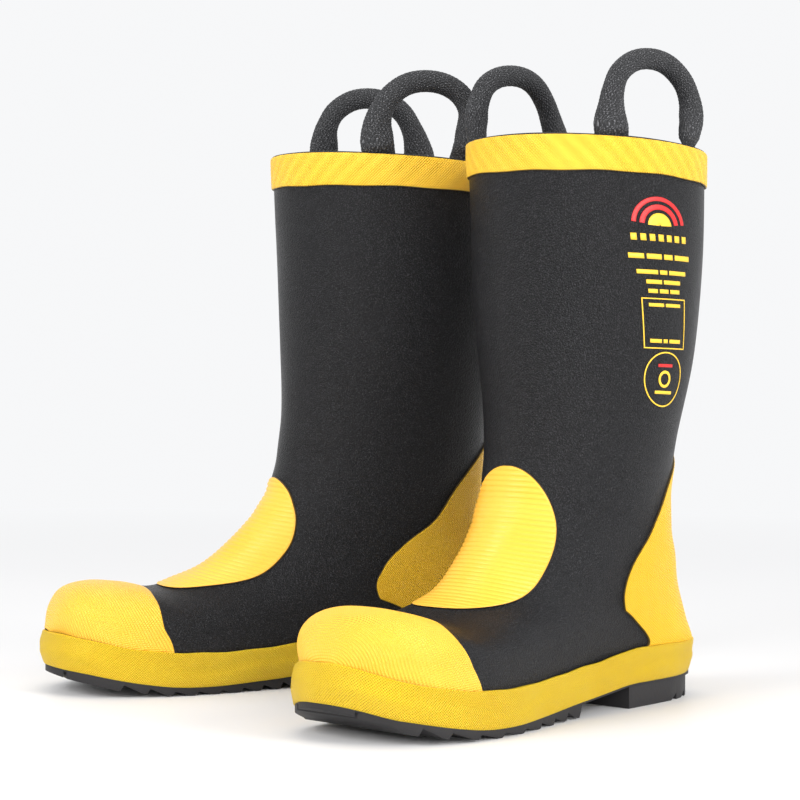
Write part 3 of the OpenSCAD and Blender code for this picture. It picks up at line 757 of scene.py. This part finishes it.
def toe_guard(side):
    """The toe guard: a woven texture draped over its crown, and a rounded rear edge."""
    phi = np.linspace(-124, 124, 300)[None]
    share = np.linspace(0, 1, 240)[:, None] ** 1.1
    turned = np.abs(phi)
    edge = (toe_edge(side, turned) + toe_edge(side, turned + 6) + toe_edge(side, turned - 6)) / 3
    s = edge + (TIP - edge) * share
    base = skin(side, s, phi)
    away = edge_distance(base, border(base[:2], 4)[: 4 * phi.size])
    line_s = np.linspace(8.8, TIP, 200)
    line = skin(side, line_s, line_s * 0 + 50)
    down = np.interp(s, line_s, run_lengths(line))
    edge_round = np.sqrt(1 - (1 - np.clip(away / 0.9, 0, 1)) ** 2)
    relief = 0.08 * np.sin(down * 2 * math.pi / CAP_PITCH) * ease(0.5, 3, away)
    outer = skin(side, s, phi, 0.15 + (TOE_GUARD_T - 0.05) * edge_round + relief)
    inner = skin(side, s, phi, 0.03)
    # the rim is the guard's very edge: its cement line, and painted shade along the joint
    rim = 1 - ease(0.1, 0.6, away)
    steps = np.linalg.norm(np.diff(base, axis=1), axis=-1)
    around = np.concatenate([steps[:, :1] * 0, np.cumsum(steps, axis=1)], axis=1)
    around = around - around[:, phi.size // 2, None]
    weave = np.stack([around, down, 0 * down], -1).reshape(-1, 3)
    both = np.concatenate([rim.ravel(), np.ones(rim.size)])
    attributes = {"rim": both, "weave": np.tile(weave, (2, 1))}
    obj = mesh_piece(f"{side}_toe_guard", side, closed_skin(outer, inner, False), toe_rubber, attributes)
    finish_piece(obj, f"{side}_boot", "toe_rubber", f"{side}_toe_cover")


def shin_guard(side):
    """The oval guard over the shin and instep, ribbed across and smoother towards the foot."""
    rows = 560
    u = -np.cos(np.pi * np.arange(rows) / (rows - 1))[:, None] * 0.9985
    q = np.sin(np.linspace(-1, 1, 61) * np.pi / 2)[None]
    half = SHIN_HALF_ANGLE * np.sqrt(1 - np.abs(u) ** 2.6)
    top, bottom = SHINS[side]
    s = (top + bottom + (bottom - top) * u) / 2
    phi = half * q
    middle = skin(side, s[:, 0], np.zeros(rows))
    down = run_lengths(middle)[:, None]
    rib = np.abs(np.sin(down * math.pi / SHIN_RIB)) ** 0.8
    fade = 1 - 0.45 * ease(60, 120, down)

    def relief(away):
        return 0.62 * (rib - 0.5) * fade * ease(0.3, 1.6, away)

    obj = guard(f"{side}_ribbed_shin_guard", side, s, phi, GUARD_T, 1.4, relief, shin_rubber)
    finish_piece(obj, f"{side}_boot", "guard_rubber", f"{side}_shin_guard")


def heel_angle(s, which):
    """Degrees from the front to the heel guard's edge at station s, its corners eased."""
    spread = np.linspace(-0.22, 0.22, 9)
    return np.mean([np.interp(s + ds, *HEEL_EDGES[which].T) for ds in spread], axis=0)


def heel_guard(side):
    """The heel guard, whose upper point runs up the back of the leg and whose foot is in the foxing."""
    q = np.sin(np.linspace(-1, 1, 161) * np.pi / 2)[None]
    share = np.linspace(0, 1, 190)[:, None]
    # a few rounds bring the foot's station and the side edge's angle there into agreement
    s_low = 7.2 + 0 * q
    for _ in range(4):
        edge = np.where(q < 0, heel_angle(s_low, "outer"), heel_angle(s_low, "inner"))
        s_low = np.interp(180 - np.abs(q) * (180 - edge), *HEEL_FOOT.T)
    s = HEEL_POINT + (s_low - HEEL_POINT) * share
    edge = np.where(q < 0, heel_angle(s, "outer"), heel_angle(s, "inner"))
    phi = 180 + q * (180 - edge)
    thin = 1 - 0.5 * ease(0.96, 0.99, share)

    def relief(away):
        return away * 0

    obj = guard(f"{side}_heel_guard", side, s, phi, GUARD_T, 1.2, relief, heel_rubber, thin)
    finish_piece(obj, f"{side}_boot", "guard_rubber", f"{side}_heel_counter")


# ---- sole ----

def sole_z(y):
    return np.interp(y, SOLE_LINE[:, 0], SOLE_LINE[:, 1])


def smooth_sole_z(y):
    """The foxing's lower edge with its corners eased, as a moulded band follows it."""
    spread = np.linspace(-9, 9, 7)
    return np.mean([sole_z(y + dy) for dy in spread], axis=0)


def outline_and_normals():
    """Points round the sole's outline and their directions outwards."""
    pts = closed_curve(OUTLINE, OUTLINE_STEPS)
    along = unit(np.roll(pts, -1, axis=0) - np.roll(pts, 1, axis=0))
    return pts, np.stack([along[:, 1], -along[:, 0]], -1)


def upper_reach(side, pts, normals, z):
    """How far the upper and its guards stand out of the sole's outline, at a height for each point."""
    s = np.linspace(5.2, TIP, 700)[:, None]
    phi = np.linspace(62, 298, 420)[None]
    turned = turn_apart(phi, 0)
    edge = np.where(phi < 180, heel_angle(s, "outer"), heel_angle(s, "inner"))
    guards = np.where(s > toe_edge(side, turned), TOE_GUARD_T + 0.1, 0)
    guards = guards + np.where(turned > edge, GUARD_T, 0)
    cloud = skin(side, s, phi, guards).reshape(-1, 3)
    reach = []
    for point, normal, height in zip(pts, normals, z):
        rel = cloud[np.abs(cloud[:, 2] - height) < 1.3, :2] - point
        near = rel[np.abs(rel @ [-normal[1], normal[0]]) < 2.2]
        near = near[np.abs(near @ normal) < 9]
        reach.append((near @ normal).max() if len(near) else -1.0)
    reach = np.array(reach)
    return np.mean([np.roll(reach, k) for k in range(-4, 5)], axis=0)


def sole_foxing(side):
    """The knurled band round the sole: rounded lips, hugging the upper, with a soft ridge along it."""
    pts, normals = outline_and_normals()
    lengths = ring_lengths(np.column_stack([pts, pts[:, 0] * 0]))[:, None]
    shift = 0.4 if side == "left" else 2.9
    turns = 2 * math.pi / lengths.max()
    front = ease(262, 306, pts[:, 1])[:, None]
    tip = ease(*TIP_RISE, pts[:, 1])[:, None]
    back = 1 - ease(0, 45, pts[:, 1])[:, None]
    low_lift, top_lift = TOE_LIFTS[side]
    low = smooth_sole_z(pts[:, 1])[:, None] + low_lift * tip
    high = FOXING_H + (top_lift - low_lift) * tip
    reach = upper_reach(side, pts, normals, (low + high)[:, 0] - 0.8)[:, None]
    # heights from the lower edge up the outside, then down the inside
    up = np.array([0.0, 0.25, 0.9, 2, 3.5, 5, 6.5, 8, 9.5, 11, 12.5, 14, 15.5, 17, 18.5, 19.6, 20.3, 20.6,
                   20.6, 10, 0.0])[None]
    on_outside = np.arange(up.size)[None] < 18
    lip = np.minimum(np.clip(up / 0.9, 0, 1), np.clip((FOXING_H - up) / 0.8, 0, 1))
    lip = 0.7 * (1 - np.sqrt(1 - (1 - lip) ** 2))
    share = ease(-3, FOXING_H, up)
    low_out = FOXING_LOW_OUT - 1.9 * back
    face = low_out * (1 - share) + np.clip(reach + 1.35 - 0.7 * back, -0.6, 3.3) * share
    face = face + (0.5 + 2.1 * front) * bell(up, 11, 7) + 0.9 * front * share
    ridge_at = 9.5 + 2.2 * np.sin(5 * turns * lengths + shift)
    ridge_at = ridge_at + 1.2 * np.sin(11 * turns * lengths + shift)
    ridge = 0.75 * (1 - ease(ridge_at - 1.6, ridge_at + 1.6, up))
    ridge = ridge * (0.55 + 0.45 * np.sin(3 * turns * lengths))
    sag = 0.5 * bell(up, ridge_at + 3.2, 3.0)
    wobble = 0.2 * np.sin(17 * turns * lengths + 0.25 * up + shift)
    out = face - lip + ridge * ease(0, 3, up) - sag + wobble * up / FOXING_H
    inside = np.minimum(face - FOXING_T, reach * share - 0.5 + low_out * (1 - share))
    out = np.where(on_outside, out, inside)
    top_wander = 0.35 * np.sin(9 * turns * lengths + shift) + 0.2 * np.sin(23 * turns * lengths)
    z = low + up * high / FOXING_H + top_wander * up / FOXING_H
    xy = pts[:, None] + normals[:, None] * out[..., None]
    sections = np.concatenate([xy, z[..., None]], -1)
    weave = np.stack([lengths + 0 * up, up + 0 * lengths, 0 * (up + lengths)], -1).reshape(-1, 3)
    # the rim is the top inside edge: the cement line, and painted shade where the upper meets the foxing
    rim = ((up > FOXING_H - 0.05) * ~on_outside + 0 * lengths).ravel()
    attributes = {"weave": weave, "rim": rim}
    obj = mesh_piece(f"{side}_sole_foxing", side, swept_ring(sections), foxing_rubber, attributes)
    finish_piece(obj, f"{side}_boot", "foxing_rubber", f"{side}_foxing_band")


def prism(outline, axis, low, high):
    """A bmesh prism. axis x takes an outline of y and z, axis z an outline of x and y."""
    bm = bmesh.new()
    rings = []
    for level in (low, high):
        ring = []
        for a, b in outline:
            co = (level, a, b) if axis == "x" else (a, b, level)
            ring.append(bm.verts.new(co))
        rings.append(ring)
    bm.faces.new(rings[0])
    bm.faces.new(rings[1])
    for i in range(len(outline)):
        k = (i + 1) % len(outline)
        bm.faces.new((rings[0][i], rings[0][k], rings[1][k], rings[1][i]))
    bmesh.ops.recalc_face_normals(bm, faces=bm.faces)
    return bm


def solid_object(bm, name):
    """An object from a bmesh, which is freed."""
    me = bpy.data.meshes.new(name)
    bm.to_mesh(me)
    bm.free()
    return new_object(name, me)


def carved(name, side, base, cutters, material, bevel=0.45):
    """A solid in the boot's own axes: cutters are (operation, object) pairs. It is then bevelled."""
    for operation, cutter in cutters:
        cut = base.modifiers.new("cut", "BOOLEAN")
        cut.operation = operation
        cut.solver = "EXACT"
        cut.object = cutter
    weld = base.modifiers.new("weld", "WELD")
    weld.merge_threshold = 0.02
    edge = base.modifiers.new("edge", "BEVEL")
    edge.width = bevel
    edge.segments = 2
    edge.limit_method = "ANGLE"
    edge.angle_limit = math.radians(32)
    edge.harden_normals = False
    shown = base.evaluated_get(bpy.context.evaluated_depsgraph_get())
    me = bpy.data.meshes.new_from_object(shown)
    co = np.zeros(len(me.vertices) * 3)
    me.vertices.foreach_get("co", co)
    me.vertices.foreach_set("co", place(side, co.reshape(-1, 3)).ravel())
    if side == "left":
        me.flip_normals()
    me.materials.clear()
    me.materials.append(material)
    me.polygons.foreach_set("use_smooth", np.ones(len(me.polygons), bool))
    me.set_sharp_from_angle(angle=math.radians(28))
    for obj in [base, *[c for _, c in cutters]]:
        bpy.data.objects.remove(obj)
    me.name = name
    return new_object(name, me)


def tread_z(y):
    return float(np.interp(y, TREAD_LINE[:, 0], TREAD_LINE[:, 1]))


def sole_profile(side, x):
    """The sole's outline from the side at x: a plate, saw-tooth lugs, a slot and the toe tip."""
    lift = TOE_LIFTS[side][0]
    share = (x / SOLE_HALF_W + 1) / 2
    lugs = LUGS_INNER + (LUGS_OUTER - LUGS_INNER) * share

    def sole(y):
        return float(sole_z(y) + lift * ease(*TIP_RISE, y))

    def tread(y):
        return tread_z(y) + 1.5 * lift * ease(*TREAD_RISE, y)

    start = lugs[0] - LUG_LEAN
    profile = [(y, sole(y) - SOLE_EDGE_T) for y in (SOLE_BACK, HEEL_LEN, 110, start - 1)]
    for y in lugs:
        profile += [(y - LUG_LEAN, sole(y) - LUG_ROOT), (y, tread(y))]
        profile.append((y + LUG_FLAT, tread(y + LUG_FLAT)))
    slot_z = sole(TREAD_END) - SOLE_EDGE_T
    front = TREAD_END - TOE_SLOT_W
    profile += [(front, tread(front)), (front, slot_z), (TREAD_END, slot_z)]
    profile += [(TREAD_END, tread(TREAD_END)), (SOLE_FRONT, tread(SOLE_FRONT))]
    back_along_top = (SOLE_FRONT, TREAD_END, 290, 265, 240, 215, 170, 128, HEEL_LEN, SOLE_BACK)
    return profile + [(y, sole(y) + SOLE_TUCK) for y in back_along_top]


def fan_prism(right, left):
    """A solid between two outlines of the same number of points, at the block's two sides."""
    count = len(right)
    bm = bmesh.new()
    ends = []
    for x, outline in ((BLOCK_HALF_W, right), (-BLOCK_HALF_W, left)):
        ends.append([bm.verts.new((x, y, z)) for y, z in outline])
    bm.faces.new(ends[0])
    bm.faces.new(ends[1][::-1])
    for k in range(count):
        after = (k + 1) % count
        bm.faces.new([ends[0][after], ends[0][k], ends[1][k]])
        bm.faces.new([ends[0][after], ends[1][k], ends[1][after]])
    bmesh.ops.recalc_face_normals(bm, faces=bm.faces)
    return bm


def lugged_sole(side):
    """The sole: a thin plate with saw-tooth lugs under the forepart and a groove down the middle."""
    pts, normals = outline_and_normals()
    profiles = [sole_profile(side, x) for x in (BLOCK_HALF_W, -BLOCK_HALF_W)]
    base = solid_object(fan_prism(*profiles), "sole_profile")
    around = pts - normals * 0.1
    foot = solid_object(prism(around, "z", *BLOCK_Z), "sole_outline")
    groove = solid_object(prism([(-4, 160), (3, 160), (4.5, 290), (-5.5, 290)], "z", -9, 2.6), "groove")
    cutters = [("INTERSECT", foot), ("DIFFERENCE", groove)]
    obj = carved(f"{side}_lugged_sole", side, base, cutters, sole_rubber)
    finish_piece(obj, f"{side}_boot", "sole_rubber", f"{side}_outsole")


def heel(side):
    """The heel block, with three notches across the back of its ground edge."""
    pts, normals = outline_and_normals()
    top = float(sole_z(0)) - SOLE_EDGE_T - 0.1
    profile = [(SOLE_BACK, 0)]
    for y in HEEL_NOTCHES:
        profile += [(y, 0), (y, HEEL_NOTCH_DEPTH), (y + HEEL_NOTCH_W, 0)]
    profile += [(HEEL_LEN, 0), (HEEL_LEN, top), (SOLE_BACK, top)]
    base = solid_object(prism(profile, "x", -BLOCK_HALF_W, BLOCK_HALF_W), "heel_profile")
    inset = 0.5 + 1.9 * (1 - ease(0, 45, pts[:, 1:]))
    around = solid_object(prism(pts - normals * inset, "z", *BLOCK_Z), "heel_outline")
    obj = carved(f"{side}_heel", side, base, [("INTERSECT", around)], sole_rubber, 0.7)
    finish_piece(obj, f"{side}_boot", "sole_rubber", f"{side}_heel_block")


def footbed_pad(side):
    """The removable footbed: a foam pad that is cupped under the heel and the arch."""
    pts, normals = outline_and_normals()
    edge = pts - normals * FOOTBED_INSET
    share = np.concatenate([np.linspace(0.03, 0.9, 16), [0.94, 0.97, 0.99, 1.0]])[:, None, None]
    spine = np.stack([edge[:, 0] * 0 + 2, np.clip(edge[:, 1], 45, 258)], -1)
    xy = spine[None] * (1 - share) + edge[None] * share
    low = np.interp(xy[..., 1], FOOTBED_LINE[:, 0], FOOTBED_LINE[:, 1])
    rim = np.sqrt(np.clip(1 - share[..., 0] ** 12, 0, 1))
    cup = 1.6 * share[..., 0] ** 3 * (1 - ease(150, 240, xy[..., 1]))
    top = low + 0.6 + (FOOTBED_T - 0.6) * rim + cup
    outer = np.concatenate([xy, top[..., None]], -1)
    inner = np.concatenate([xy, low[..., None]], -1)
    solid = closed_skin(outer[::-1], inner[::-1], True, hole_closed=True)
    obj = mesh_piece(f"{side}_footbed_pad", side, solid, MATERIALS["footbed_foam"])
    finish_piece(obj, f"{side}_boot", "footbed_foam", f"{side}_footbed")


# ---- print on the leg: plain shapes and bars in place of any mark or writing ----

PRINT_TOP = 29
PRINT_T = 0.14


def on_leg(side, x, down, d):
    """Points of the outer side of the leg at x across the print and down it, in millimetres."""
    s = below_collar(PRINT_TOP + down)
    phi = 72 + 8 * s + np.degrees(x / 60)
    return skin(side, s, phi, d)


def patch(side, x, down):
    """A thin printed patch from grids of x and down."""
    return closed_skin(on_leg(side, x, down, PRINT_T), on_leg(side, x, down, 0.0), False)


def bar(side, x0, x1, top, height):
    across = np.linspace(x0, x1, max(4, int((x1 - x0) / 0.8)))
    x, down = np.meshgrid(across, np.linspace(top, top + height, max(3, int(height / 1.5))))
    return patch(side, x, down)


def arc(side, x, down, inner, outer, start, end):
    turn, radius = np.meshgrid(np.radians(np.linspace(start, end, 97)), np.linspace(inner, outer, 5))
    return patch(side, x - radius * np.cos(turn), down - radius * np.sin(turn))


def bars(side, top, height, lengths, gap=1.3):
    """A centred row of bars that stands for a line of writing."""
    x = -(sum(lengths) + gap * (len(lengths) - 1)) / 2
    row = []
    for length in lengths:
        row.append(bar(side, x, x + length, top, height))
        x += length + gap
    return row


def frame_box(side, half, top, height, line):
    return [bar(side, -half, half, top, line),
            bar(side, -half, half, top + height - line, line),
            bar(side, -half, -half + line, top + line, height - 2 * line),
            bar(side, half - line, half, top + line, height - 2 * line)]


def leg_label(side):
    """Arcs, rows of bars, a box with bars in it and a ring with bars in it, printed on the leg."""
    red = [arc(side, 0, 21, 9.5, 12.5, 6, 174), arc(side, 0, 21, 14.5, 17, 6, 174)]
    yellow = [arc(side, 0, 21, 0.5, 7.5, 2, 178)]
    yellow += bars(side, 26, 4, [3.4] * 7, 2.1)
    yellow += bars(side, 37.5, 3, [9, 9.4, 6, 12], 1.6)
    yellow += bars(side, 46.8, 2.5, [13, 5, 13])
    yellow += bars(side, 52.5, 2.4, [10, 12])
    yellow += bars(side, 57.8, 2.4, [6, 6, 7])
    yellow += frame_box(side, 15.5, 63, 29, 0.7)
    yellow += bars(side, 66, 2, [10, 11])
    yellow += bars(side, 86.5, 2.2, [8, 3, 9])
    yellow += [arc(side, 0, 109, 14.6, 15.4, -180, 180), arc(side, 0, 109, 3.2, 4.8, -180, 180)]
    yellow += bars(side, 115.5, 1.8, [14])
    red += bars(side, 100.5, 1.8, [11])
    obj = mesh_piece(f"{side}_leg_label", side, joined(yellow + red), yellow_ink)
    obj.data.materials.append(red_ink)
    yellow_faces = sum(len(f) for _, faces in yellow for f in faces)
    for polygon in obj.data.polygons[yellow_faces:]:
        polygon.material_index = 1
    finish_piece(obj, f"{side}_boot", "print_ink", f"{side}_leg_print")


# ---- pull loops ----

RINGS = 560
RING_SIDES = 140
YARNS = 24
BRAID_PITCH = 4.2


def collar_foot(sign, angle):
    """Where a loop's foot goes into the collar, in the collar's plan."""
    p = math.radians(angle)
    x = sign * POCKET_HALF[0] * math.sin(p)
    return np.array([x, COLLAR_MID_Y + POCKET_HALF[1] * math.cos(p), 0])


def loop_line(sign, front_angle, rear_angle, path):
    """The loop's centre line from inside the collar, over the top and back in, and its directions."""
    front = collar_foot(sign, front_angle)
    rear = collar_foot(sign, rear_angle)
    along = unit(front - rear)
    outwards = sign * np.array([along[1], -along[0], 0])
    path = curve_at(np.array(path, float), np.linspace(0, len(path) - 1, 1200))
    line = (front + rear) / 2 + along * path[:, :1] - outwards * LOOP_LEAN_IN * path[:, 1:] / LOOP_RISE
    line[:, 2] = HINGE_Z + path[:, 1]
    # inside the collar each end slides over to its pocket between the rubber and the lining
    drop = np.linspace(0, 1, 60)[1:, None]
    ends = []
    for end, foot in ((line[0], front), (line[-1], rear)):
        pocket = foot + [0, 0, HINGE_Z - 14]
        ends.append(end * (1 - drop) + pocket * drop)
    line = np.concatenate([ends[0][::-1], line, ends[1]])
    lengths = run_lengths(line)
    even = np.linspace(0, lengths[-1], RINGS)
    line = np.stack([np.interp(even, lengths, line[:, k]) for k in range(3)], -1)
    return line, even, outwards


def braid(turn, along):
    """Height of a plain braid, 0 to 1, from the place round the sleeve and along it."""
    a = YARNS * turn + along / BRAID_PITCH
    b = YARNS * turn - along / BRAID_PITCH
    over = (np.floor(a) + np.floor(b)) % 2
    across = np.where(over > 0.5, a % 1, b % 1)
    length = np.where(over > 0.5, b % 1, a % 1)
    round_yarn = np.sqrt(np.clip(1 - (2 * across - 1) ** 2, 0, 1))
    return round_yarn * (0.55 + 0.45 * np.sin(math.pi * length))


def loop_rings(centre, sideways, out, across, through):
    return centre[:, None] + sideways[:, None] * across[..., None] + out[:, None] * through[..., None]


def pull_loop(side, which):
    """A braided sleeve over a cord. The sleeve's ends are pressed flat between the rubber and lining."""
    sign = 1 if which == "outer" else -1
    front_angle, rear_angle, thickness, path = LOOPS[side, which]
    line, along, outwards = loop_line(sign, front_angle, rear_angle, path)
    tangent = unit(np.gradient(line, axis=0))
    height = (line[:, 2] - HINGE_Z)[:, None]
    first_half = (np.arange(RINGS) < RINGS / 2)[:, None]
    normals = []
    for angle in (front_angle, rear_angle):
        p = math.radians(angle)
        slope = [sign * math.sin(p) / POCKET_HALF[0], math.cos(p) / POCKET_HALF[1], 0]
        normals.append(unit(np.array(slope)))
    shell_normal = np.where(first_half, normals[0], normals[1])
    tucked = 1 - ease(-3, 14, height)
    out = unit(outwards * (1 - tucked) + shell_normal * tucked)
    out = unit(out - tangent * np.sum(out * tangent, axis=-1, keepdims=True))
    sideways = np.cross(out, tangent)
    round_top = ease(0, 27, height)
    pressed = 1 - ease(-9.5, -2.5, height)
    wide = (LOOP_FOOT[0] + (thickness - LOOP_FOOT[0]) * round_top) / 2 - 0.3
    deep = (LOOP_FOOT[1] + (thickness - LOOP_FOOT[1]) * round_top) / 2 - 0.3
    deep = deep * (1 - pressed) + 0.9 * pressed
    turn = (np.arange(RING_SIDES) / RING_SIDES)[None]
    yarn = braid(turn, along[:, None])
    relief = (yarn - 0.5) * 0.7 * (1 - 0.7 * pressed)
    angle = 2 * math.pi * turn
    across = (wide + relief) * np.cos(angle)
    through = (deep + relief) * np.sin(angle) - pressed * across ** 2 / (2 * POCKET_HALF[0])
    weave = np.stack([turn * 45 + 0 * along[:, None], along[:, None] + 0 * turn, 0 * yarn], -1)
    weave = np.concatenate([weave.reshape(-1, 3), np.zeros((2, 3))])
    # lay also paints the gaps between yarns darker in loop_yarn, as painted shade
    lay = np.append(yarn.ravel(), [0, 0])
    solid = lofted(loop_rings(line, sideways, out, across, through))
    attributes = {"weave": weave, "lay": lay}
    sleeve = mesh_piece(f"{side}_{which}_loop_braid", side, solid, loop_yarn, attributes)
    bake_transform(sleeve)
    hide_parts(f"{side}_{which}_loop_sleeve")
    # the cord inside, from just over one foot to just over the other
    kept = np.flatnonzero(height[:, 0] > 1.5)[::6]
    coarse = angle[:, ::5]
    shrink = LOOP_WALL + 0.4
    across = (wide[kept] - shrink) * np.cos(coarse)
    through = (deep[kept] - shrink) * np.sin(coarse)
    solid = lofted(loop_rings(line[kept], sideways[kept], out[kept], across, through))
    cord = mesh_piece(f"{side}_{which}_loop_cord", side, solid, MATERIALS["loop_cord"])
    finish_piece(cord, f"{side}_{which}_loop", "loop_cord", f"{side}_{which}_loop_core")


# ---- everything ----

def dress_frame():
    """Materials for the CAD nodes that show: the layers and hardware inside the boots."""
    slots = {row["node"]: row["material_slot"] for row in frame["record"]["subparts"]}
    for name, obj in frame["nodes"].items():
        if not obj.hide_render:
            obj.data.materials.clear()
            obj.data.materials.append(MATERIALS[slots[name]])


def backdrop_colour(tree, vector, forward, near_side, far_side):
    """The backdrop's colour by compass direction: brighter beyond the boots than in front of them."""
    flat = add(tree, "ShaderNodeVectorMath", {0: vector, 1: (1, 1, 0)}, operation="MULTIPLY").outputs[0]
    flat = add(tree, "ShaderNodeVectorMath", {0: flat}, operation="NORMALIZE").outputs[0]
    inputs = {0: flat, 1: (forward[0], forward[1], 0)}
    facing = add(tree, "ShaderNodeVectorMath", inputs, operation="DOT_PRODUCT").outputs["Value"]
    return blend_colours(tree, remap(tree, facing, -0.5, 0.7, 0, 1), near_side, far_side)


def floor_and_world():
    """A pale floor that passes into the backdrop's own brightness, far from the boots."""
    far_side = (0.93, 0.935, 0.945, 1)
    near_side = (0.68, 0.682, 0.692, 1)
    forward = camera_directions()[0]
    world = bpy.data.worlds.new("studio")
    bpy.context.scene.world = world
    world.use_nodes = True
    tree = world.node_tree
    outward = add(tree, "ShaderNodeTexCoord").outputs["Generated"]
    tint = backdrop_colour(tree, outward, forward, near_side, far_side)
    tree.links.new(tint, tree.nodes["Background"].inputs[0])
    bm = bmesh.new()
    bmesh.ops.create_circle(bm, cap_ends=True, segments=96, radius=14)
    floor = solid_object(bm, "floor")
    material, tree, shader = new_material("pale_floor", **{"Roughness": 0.5, "Specular IOR Level": 0.35})
    where = object_place(tree)
    patches = noise(tree, where, 3, 2)
    tint = blend_colours(tree, patches, (0.74, 0.733, 0.731, 1), (0.77, 0.763, 0.761, 1))
    tree.links.new(tint, shader.inputs["Base Color"])
    far = add(tree, "ShaderNodeVectorMath", {0: where}, operation="LENGTH").outputs["Value"]
    fade = math_node(tree, "POWER", remap(tree, far, 0.25, 1.9, 0, 1), 0.55)
    glow = add(tree, "ShaderNodeEmission", {"Strength": 1.0})
    tree.links.new(backdrop_colour(tree, where, forward, near_side, far_side), glow.inputs["Color"])
    mix = add(tree, "ShaderNodeMixShader", {0: fade, 1: shader.outputs[0], 2: glow.outputs[0]})
    out = next(n for n in tree.nodes if n.type == "OUTPUT_MATERIAL")
    tree.links.new(mix.outputs[0], out.inputs[0])
    floor.data.materials.append(material)


# The camera stands at about the boots' mid height, 1.45 m from the left heel
CAMERA = Vector((1.1313, -0.7827, 0.1957))
CAMERA_AZIMUTH = math.radians(55.15)
CAMERA_DOWN = math.radians(0.64)
CAMERA_ROLL = math.radians(0.51)
FOCAL_MM = 101.76
LIGHT_AIM = Vector((0, 0, 0.17))


def camera_directions():
    flat = Vector((-math.sin(CAMERA_AZIMUTH), math.cos(CAMERA_AZIMUTH), 0))
    forward = flat * math.cos(CAMERA_DOWN) - Vector((0, 0, math.sin(CAMERA_DOWN)))
    right = forward.cross(Vector((0, 0, 1))).normalized()
    up = right.cross(forward)
    rolled_right = right * math.cos(CAMERA_ROLL) + up * math.sin(CAMERA_ROLL)
    rolled_up = up * math.cos(CAMERA_ROLL) - right * math.sin(CAMERA_ROLL)
    return forward, rolled_right, rolled_up


def camera():
    forward, right, up = camera_directions()
    data = bpy.data.cameras.new("camera")
    data.lens = FOCAL_MM
    data.sensor_width = 36
    data.clip_start = 0.05
    data.clip_end = 60
    obj = new_object("camera", data)
    turn = Matrix((right, up, -forward)).transposed()
    obj.matrix_world = Matrix.Translation(CAMERA) @ turn.to_4x4()
    bpy.context.scene.camera = obj


def area_light(name, from_right, from_back, height, size, power):
    """A soft box placed by the camera's right, its view direction and height above the floor."""
    forward, right, _ = camera_directions()
    data = bpy.data.lights.new(name, "AREA")
    data.shape = "RECTANGLE"
    data.size, data.size_y = size
    data.energy = power
    obj = new_object(name, data)
    obj.location = LIGHT_AIM + right * from_right + forward * from_back + Vector((0, 0, height))
    obj.rotation_mode = "QUATERNION"
    obj.rotation_quaternion = (LIGHT_AIM - obj.location).to_track_quat("-Z", "Y")


for boot in SIDES:
    rubber_upper(boot)
    knit_lining(boot)
    yellow_collar(boot)
    collar_bead(boot)
    toe_guard(boot)
    shin_guard(boot)
    heel_guard(boot)
    sole_foxing(boot)
    lugged_sole(boot)
    heel(boot)
    footbed_pad(boot)
    leg_label(boot)
    pull_loop(boot, "outer")
    pull_loop(boot, "inner")
dress_frame()
floor_and_world()
camera()
area_light("key", -1.25, -1.1, 0.75, (0.85, 0.85), 27)
area_light("front", 0.35, -1.7, 0.3, (1.2, 0.8), 13)
area_light("fill", 1.4, -0.9, 0.5, (0.8, 1.2), 24)
area_light("top", -0.2, 0.1, 1.6, (1.0, 1.0), 6)
bpy.context.scene.view_settings.view_transform = "Standard"
